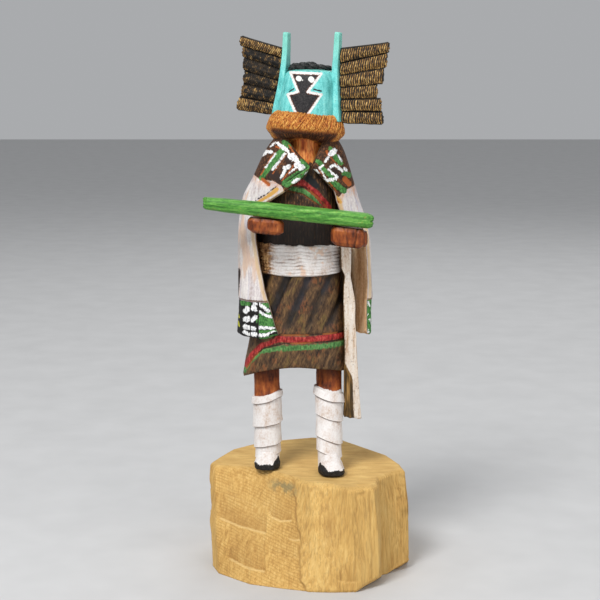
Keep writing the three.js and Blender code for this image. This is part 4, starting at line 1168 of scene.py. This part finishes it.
mask = {
    "middle": [0.2, 0], "slant": 0.07, "height": 17.6,
    "radius": [[-2, 8.8], [4, 8.7], [12, 8], [15.6, 7.4], [17.1, 6.6], [17.6, 5]],
    # the painted face, seen from the front: its outline, eyes and small marks
    "face": [[-3.7, 117.9], [5.2, 117.5], [1.2, 112.3], [5.2, 111.6], [-0.7, 103], [-4.5, 111.6],
             [-1.5, 112.4]],
    "eyes": [[-1.4, 116.2, -1.2, 116.1, 1.5], [2.2, 116, 2.4, 115.8, 1.6],
             [-0.25, 115.7, -0.2, 115.7, 0.4]],
    "ticks": [[3, 113.1, 5.1, 112.6, 0.4], [-4.1, 112.4, -2.7, 113.3, 0.3],
              [-0.9, 112.3, 0.7, 112.2, 0.3]],
}


def maskPiece(finish):
    # squared ovals up the mask, its crown slanting by slant * x * z / height
    z = np.concatenate([np.linspace(0.8, 15, 76), np.linspace(15.15, mask["height"], 22)])[:, None]
    radius = along(mask["radius"], z)
    angle = frontward(290, 0.6)
    x, y = oval(angle, radius, radius, 2.3)
    carve = 0.1 * roughness(x * 0.3, y * 0.3, z * 0.3, 91) + 0.04 * noise(x * 1.2, y * 1.2, z * 0.5, 92)
    x, y = x * (1 + carve / 8), y * (1 + carve / 8)
    z = z + mask["slant"] * x * z / mask["height"]
    share = np.array([0.75, 0.5, 0.25])[:, None]
    rows = [np.vstack([value, value[-1] * share]) for value in (x, y)]
    z = np.vstack([z, z[-1] * share + (1 - share) * z[-1].mean() + 0.1])
    # crown: painted shade, a darker green, on the top rows and the cap
    crown = np.vstack([rising(np.linspace(0, 1, len(x))[:, None] + 0 * x, 0.93, 1),
                       1 + 0 * share * x[:1]])
    x, y, z = onHead(rows[0] + mask["middle"][0], rows[1] + mask["middle"][1], z)
    front = np.where(y < 0, 0, 9.0)
    marks = {
        "face": edgeDistance(x, z, mask["face"]) + front,
        "eyes": lineDistance(x, z, mask["eyes"]) + front,
        "ticks": lineDistance(x, z, mask["ticks"]) + front, "crown": crown,
    }
    return build("mask", [patch(*onFigure(x, y, z), marks=marks)], finish, ["figure"])


def turquoiseColour(finish):
    # turquoise brushed up and down, thinner and greener in places
    brush = finish.noise(0.8, 4, (1, 1, 0.3), 0.6)
    fine = finish.noise(2.5, 3)
    colour = finish.ramp(brush * 0.65 + fine * 0.35, (0.36, 70, 160, 156), (0.46, 98, 194, 190),
                         (0.56, 122, 214, 210), (0.68, 156, 228, 218))
    speck = finish.noise(1.4, 2).rising(0.68, 0.74) * 0.5
    return finish.mixed(speck, colour, tone(40, 76, 78)), brush


def maskFinish():
    finish = Finish("mask_paint")
    colour, brush = turquoiseColour(finish)
    fine = finish.noise(2.6, 3)
    # painted shade, a darker green, on the crown
    colour = finish.mixed(finish.mark("crown") * 0.55, colour, tone(74, 124, 92))
    face = finish.mark("face") + (fine - 0.5) * 0.7
    black = face.falling(-0.3, -0.15)
    brown = (face + 0.42).size().falling(0.06, 0.2)
    white = face.size().falling(0.32, 0.44)
    colour = finish.mixed(black, colour, finish.ramp(fine, (0.4, 20, 19, 21), (0.62, 52, 48, 48)))
    colour = finish.mixed(white, colour, finish.ramp(fine, (0.36, 204, 200, 196), (0.5, 238, 236, 232)))
    colour = finish.mixed(brown * black * 0.8, colour, tone(108, 56, 30))
    eyes = (finish.mark("eyes") + (fine - 0.5) * 0.4).falling(-0.08, 0.06)
    colour = finish.mixed(eyes, colour, tone(236, 234, 228))
    ticks = (finish.mark("ticks") + (fine - 0.5) * 0.3).falling(-0.05, 0.1)
    colour = finish.mixed(ticks, colour, tone(28, 26, 28))
    return finish.done(colour, 0.55, brush * 0.6 + fine * 0.4, 0.15)


ruff = {
    # radius and height round the section, from under the chin and outwards
    "section": [[4.2, -3.4], [7.6, -4], [10.2, -3], [11.4, -0.6], [11.3, 1.6], [10.2, 4], [8.6, 5.3],
                [6.4, 5.4]],
    "scoop": 2.0,  # how far its underside is cut up under the chin
}


def ruffPiece(finish):
    # the section, on a smooth closed curve, turned round the neck, with strands that slant across its top
    section = np.array(ruff["section"], float)
    count = len(section)
    t = np.linspace(0, count, 84, endpoint=False)
    i, f = t.astype(int), (t % 1)[:, None]
    before, at, after, further = (section[(i + k) % count] for k in (-1, 0, 1, 2))
    curve = 0.5 * (2 * at + (after - before) * f + (2 * before - 5 * at + 4 * after - further) * f ** 2
                   + (3 * at - before - 3 * after + further) * f ** 3)
    radius, z = curve[:, :1], curve[:, 1:]
    angle = circle(780)
    outer = rising(radius, 6, 9)
    over = rising(z, -0.6, 0.4)
    slant = angle - 0.06 * z * over
    strands = 0.6 * ringNoise(slant, 46, z * 0.5, 101)
    strands = strands + 0.9 * ringNoise(slant, 90, z * 0.7, 102)
    lumps = ringNoise(angle, 5, z * 0.3, 103)
    front = np.maximum(0, -np.sin(angle - 0.2)) ** 2
    # under: the front of the underside, painted dark as scorch and as painted shade
    under = rising(-z, -1.2, 0.8) * rising(radius, 6.5, 8)
    tuck = 1 - 0.07 * rising(-z, 0.4, 2.4) - 0.06 * front * rising(-z, -1.8, 0.6)
    r = radius * tuck + (0.2 * strands + 0.2 * lumps) * outer
    height = z + ruff["scoop"] * front * rising(-z, 0.4, 3) + 0.14 * strands * outer
    marks = {"strands": strands + 0 * height, "under": under * rising(front, 0.12, 0.4) + 0 * height}
    shape = patch(*onFigure(*onHead(r * np.cos(angle), r * np.sin(angle), height)), start="ring",
                  end="ring", marks=marks)
    return build("ruff", [shape], finish)


def ruffFinish():
    # golden strands over brown; dark below the ring's widest line at the front, partly scorched paint and
    # partly painted shade on its underside
    finish = Finish("ruff_paint")
    strands = finish.mark("strands")
    hair = finish.noise(2.6, 4, (1, 1, 0.4), 0.7)
    gold = finish.ramp(strands * 0.14 + 0.5 + (hair - 0.5) * 1.3, (0.28, 96, 44, 14), (0.43, 168, 92, 34),
                       (0.56, 208, 134, 54), (0.7, 236, 184, 100))
    dark = finish.ramp(strands * 0.3 + 0.5, (0.3, 34, 14, 5), (0.55, 78, 38, 14), (0.75, 150, 90, 40))
    # the dark underside is partly scorched paint and partly painted shade
    share = (finish.mark("under") + strands * 0.3 + (hair - 0.5) * 1.2).rising(0.3, 0.85)
    return finish.done(finish.mixed(share, gold, dark), 0.6, strands * 0.4 + hair, 0.3)


uprights = {
    "depth": [[3.4, 6.2], [17, 5], [28.4, 3.2]],
    "right": {"x": [[3.4, -9], [17, -7.75], [28.4, -8.05]], "width": [[3.4, 2.1], [28.4, 1.6]],
              "top": 27.9},
    "left": {"x": [[3.4, 9.6], [17, 7.95], [28.4, 7.5]], "width": [[3.4, 2.2], [28.4, 1.7]],
             "top": 28.95},
}


def uprightPiece(side, finish):
    # squared ovals up a slat that narrows towards its top
    slat = uprights[side]
    z = np.linspace(3.4, slat["top"], 80)[:, None]
    angle = circle(60)
    end = 1 - 0.14 * np.clip((z - slat["top"] + 0.4) / 0.4, 0, 1) ** 2
    x, y = oval(angle, along(slat["width"], z) / 2 * end, along(uprights["depth"], z) / 2 * end, 9)
    whittle = 0.1 * noise(x * 0.5, y * 0.5, z * 0.18, 111) + 0.04 * noise(x * 2, y * 2, z * 0.6, 112)
    x = along(slat["x"], z) + x + whittle
    return build(f"slat_{side}", [patch(*onFigure(*onHead(x, y, z + 0 * angle)))], finish,
                 [f"upright_{side}"])


def uprightFinish():
    finish = Finish("slat_paint")
    colour, brush = turquoiseColour(finish)
    pale = finish.z.rising(146, 158)  # towards the tips
    colour = finish.mixed(pale * 0.5, colour, tone(140, 204, 176))
    return finish.done(colour, 0.55, brush, 0.15)


wings = {
    "right": {
        "side": -1, "rootTop": 23.2, "tipTop": 25.8, "lean": 2.4, "barb": 0.64,
        "gold": [0.62, 0.36, 0.24, 0.22, 0.32, 0.68],
        "feathers": [
            [3.7, 4.1, 11.6], [7.2, 8.2, 11], [10.6, 12, 11.2], [13.8, 16, 11.7], [17, 19.7, 12.3],
            [20.4, 23, 13.1],
        ],
    },
    "left": {
        "side": 1, "rootTop": 24.4, "tipTop": 27, "lean": 0.6, "barb": 0.68,
        "gold": [0.75, 0.9, 0.8, 0.95, 1, 0.75],
        "feathers": [
            [3, 3.5, 12.3], [6.4, 7.3, 12], [9.8, 11, 11], [13.2, 15.2, 12.9], [16.6, 19.8, 13.8],
            [20.2, 24.2, 14.3],
        ],
    },
}
feather = {"back": 0.7, "edge": 0.5, "crown": 1.15, "overlap": 0.25}


def wingPiece(side, finish):
    # each feather is a board from root to tip, raised along its shaft, lapped over the one below,
    # and nicked by slanting barbs: depth * (0.5 + 0.5 cos(2 pi (reach t - lean |v - 0.3|) / barb))
    wing, slat = wings[side], uprights[side]
    sign = wing["side"]
    shapes = []
    for i, (rootLow, tipLow, reach) in enumerate(wing["feathers"]):
        rootHigh, tipHigh = (wing["feathers"] + [[wing["rootTop"], wing["tipTop"], 0]])[i + 1][:2]
        t = np.linspace(0, 1, 108)[:, None]
        v = np.linspace(0, 1, 20)[None]
        low = rootLow + (tipLow - rootLow) * t + 0.12 * noise(t * 6, i, 0, 121)
        high = rootHigh + (tipHigh - rootHigh) * t + feather["overlap"]
        z = low + (high - low) * v
        root = along(slat["x"], z) + sign * (along(slat["width"], z) / 2 + 0.3)
        frayed = 0.4 * np.abs(noise(v * 7, i, 0, 122)) + 0.35 * np.abs(2 * v - 1) ** 3
        x = root + sign * (reach * t - frayed * t ** 8)
        wander = (0.3 * noise(t * reach * 0.4, v * 1.5, i, 123)
                  + 0.22 * noise(t * reach * 1.5, v * 3, i, 124))
        phase = (t * reach - np.abs(v - 0.3) * wing["lean"]) / wing["barb"] + wander
        nick = 0.5 + 0.5 * np.cos(2 * np.pi * phase)
        shaft = np.exp(-((v - 0.42) / 0.07) ** 2)
        lap = rising(v, 0.86, 1)
        raised = (feather["edge"] + (feather["crown"] - feather["edge"]) * np.sin(np.pi * v ** 0.8)
                  + 0.25 * (i % 2))
        front = -raised + 0.2 * nick * (1 - shaft) + 0.45 * lap - 0.12 * noise(t * 5, v * 2, i, 125)
        back = feather["back"] - 0.15 * nick * (1 - shaft) - 0.3 * (lap + rising(-v, -0.12, 0))
        rim = np.exp(-((v - 0.13) / 0.07) ** 2) * min(1, wing["gold"][i])
        # gap: painted shadow along the feathers' edges, where they lap: no gold there
        gap = rising(v, 0.86, 0.93) + 1 - rising(v, 0.01, 0.06)
        lit = wing["gold"][i] + 0.25 * rising(t, 0.75, 1) + 0.15 * (1 - rising(t, 0.05, 0.2))
        columns = {"phase": phase, "gold": lit - 2 * gap, "rim": rim + 0 * t, "shaft": shaft + 0 * t}
        marks = {name: np.hstack([value, value[:, ::-1]]) for name, value in columns.items()}
        x, z = np.hstack([x, x[:, ::-1]]), np.hstack([z, z[:, ::-1]])
        y = np.hstack([front + 0 * t, back[:, ::-1]])
        shapes.append(patch(*onFigure(*onHead(x, y, z)), start="strip", end="strip", marks=marks))
    return build(f"crow_wing_{side}", shapes, finish, [f"wing_{side}"])


def wingFinish():
    # wood burnt black between barbs that keep their gold, most on the rims and tips; black as painted
    # shadow in the gaps between feathers
    finish = Finish("burnt_feather")
    fine = finish.noise(1.6, 3, (1, 1, 0.6))
    speck = finish.noise(0.9, 3)
    wave = (finish.mark("phase") * math.tau).sine()
    tick = (wave + (fine - 0.5) * 2.4).rising(-0.2, 0.5)
    presence = (finish.mark("gold") + (speck - 0.5) * 2).rising(0.3, 0.75)
    rim = finish.mark("rim").rising(0.3, 0.9) * (fine + speck).rising(0.8, 1.1)
    gold = finish.ramp(fine, (0.36, 104, 70, 32), (0.52, 166, 124, 64), (0.66, 214, 176, 110))
    burnt = finish.ramp(speck, (0.4, 18, 14, 10), (0.62, 52, 40, 26))
    share = (tick * presence).most(rim * 0.5) * (1 - finish.mark("shaft") * 0.25)
    return finish.done(finish.mixed(share.least(1.0), burnt, gold), 0.65, wave * 0.3 + fine, 0.15)


tuft = {
    # rolled locks of down on the crown: [x, y, radius, height]
    "locks": [
        [-4.1, -1.9, 1.9, 1.5], [-1.5, -2.7, 2.1, 1.7], [1.5, -2.5, 1.9, 1.2], [4.1, -1.7, 1.7, 1],
        [-4.3, 1.7, 1.8, 1.4], [-1.3, 2.7, 2.1, 1.6], [1.9, 2.6, 2, 1.3], [4.3, 1.7, 1.6, 1],
        [0, 0, 2.4, 1.9],
    ],
    "middle": [-0.1, 0.2, 17.95],
}


def tuftPiece(finish):
    # domes: radius * cos, height * sin of a rising angle, curled by a small twist and combed by noise
    shapes = []
    for seed, (atX, atY, radius, height) in enumerate(tuft["locks"]):
        rise = np.linspace(-0.45, np.pi / 2 * 0.96, 24)[:, None]
        angle = circle(46)
        comb = 1 + 0.1 * np.cos(4 * (angle + rise * 1.6) + seed) + 0.1 * ringNoise(angle, 2, seed, 131)
        reach = radius * np.cos(rise) ** 0.7 * comb
        x, y = atX + reach * np.cos(angle), atY + reach * np.sin(angle)
        z = height * np.sin(rise) * (1 + 0.1 * np.cos(3 * angle + seed)) + mask["slant"] * x
        x, y, z = (value + tuft["middle"][axis] for axis, value in enumerate((x, y, z)))
        shapes.append(patch(*onFigure(*onHead(x, y, z))))
    return build("crown_down", shapes, finish, ["hair_tuft"])


def tuftFinish():
    finish = Finish("down_paint")
    fine = finish.noise(2.2, 4, (1, 1, 1), 0.65)
    colour = finish.ramp(fine, (0.42, 9, 10, 10), (0.62, 44, 48, 46))
    return finish.done(colour, 0.6, fine, 0.25)


# the doll

print("carving the block")
blockPiece(woodFinish())

print("carving the figure")
legColour, footColour, handColour = legFinish(), footFinish(), handFinish()
slatColour, wingColour = uprightFinish(), wingFinish()
for side in ("right", "left"):
    legPiece(side, legColour)
    footPiece(side, footColour)
    armPiece(side, handColour)
    uprightPiece(side, slatColour)
    wingPiece(side, wingColour)
dressPiece(dressFinish())
sashPiece(sashFinish())
sashEndPiece(sashEndFinish())
shawlPiece(shawlFinish())
bundlePiece(bundleFinish())
neckPiece(neckFinish())
ruffPiece(ruffFinish())
maskPiece(maskFinish())
tuftPiece(tuftFinish())


# floor, light and camera

studio = {
    "target": (-0.00275, 0, 0.0808), "distance": 0.43, "pitch": 8.85, "lens": 86,
    "sky": 0.42,
    # name, place, size and power of each soft lamp
    "lamps": [
        ("key", (-0.28, -0.5, 0.75), 0.3, 6.5), ("fill", (0.5, -0.6, 0.35), 0.6, 1.6),
        ("rim", (0.2, 0.6, 0.7), 0.5, 1.8),
    ],
}


def studioSet():
    # floor, sky, three soft lamps and the camera
    scene = bpy.context.scene
    bpy.ops.mesh.primitive_plane_add(size=6, location=(0, 0, blockLow[2] / 1000))
    floor = bpy.context.object
    floor.name = "floor"
    pale = Finish("floor_paper")
    soft = pale.noise(0.05, 2)
    floor.data.materials.append(pale.done(pale.ramp(soft, (0.3, 196, 196, 196), (0.7, 202, 202, 202)),
                                          0.9, soft, 0.02))

    world = bpy.data.worlds.new("studio")
    scene.world = world
    world.use_nodes = True
    world.node_tree.nodes["Background"].inputs[0].default_value = (0.95, 0.97, 1, 1)
    world.node_tree.nodes["Background"].inputs[1].default_value = studio["sky"]

    for name, place, size, power in studio["lamps"]:
        light = bpy.data.lights.new(name, "AREA")
        light.size, light.energy = size, power
        lamp = bpy.data.objects.new(name, light)
        scene.collection.objects.link(lamp)
        lamp.location = place
        aim = np.array(studio["target"]) - np.array(place)
        lamp.rotation_euler = (math.atan2(math.hypot(aim[0], aim[1]), -aim[2]), 0,
                               math.atan2(-aim[0], aim[1]))

    pitch = math.radians(studio["pitch"])
    lens = bpy.data.cameras.new("camera")
    lens.lens, lens.sensor_width, lens.clip_start = studio["lens"], 36, 0.01
    camera = bpy.data.objects.new("camera", lens)
    scene.collection.objects.link(camera)
    x, y, z = studio["target"]
    camera.location = (x, y - studio["distance"] * math.cos(pitch),
                       z + studio["distance"] * math.sin(pitch))
    camera.rotation_euler = (math.pi / 2 - pitch, 0, 0)
    scene.camera = camera
    scene.view_settings.view_transform = "Standard"


print("setting the studio")
studioSet()
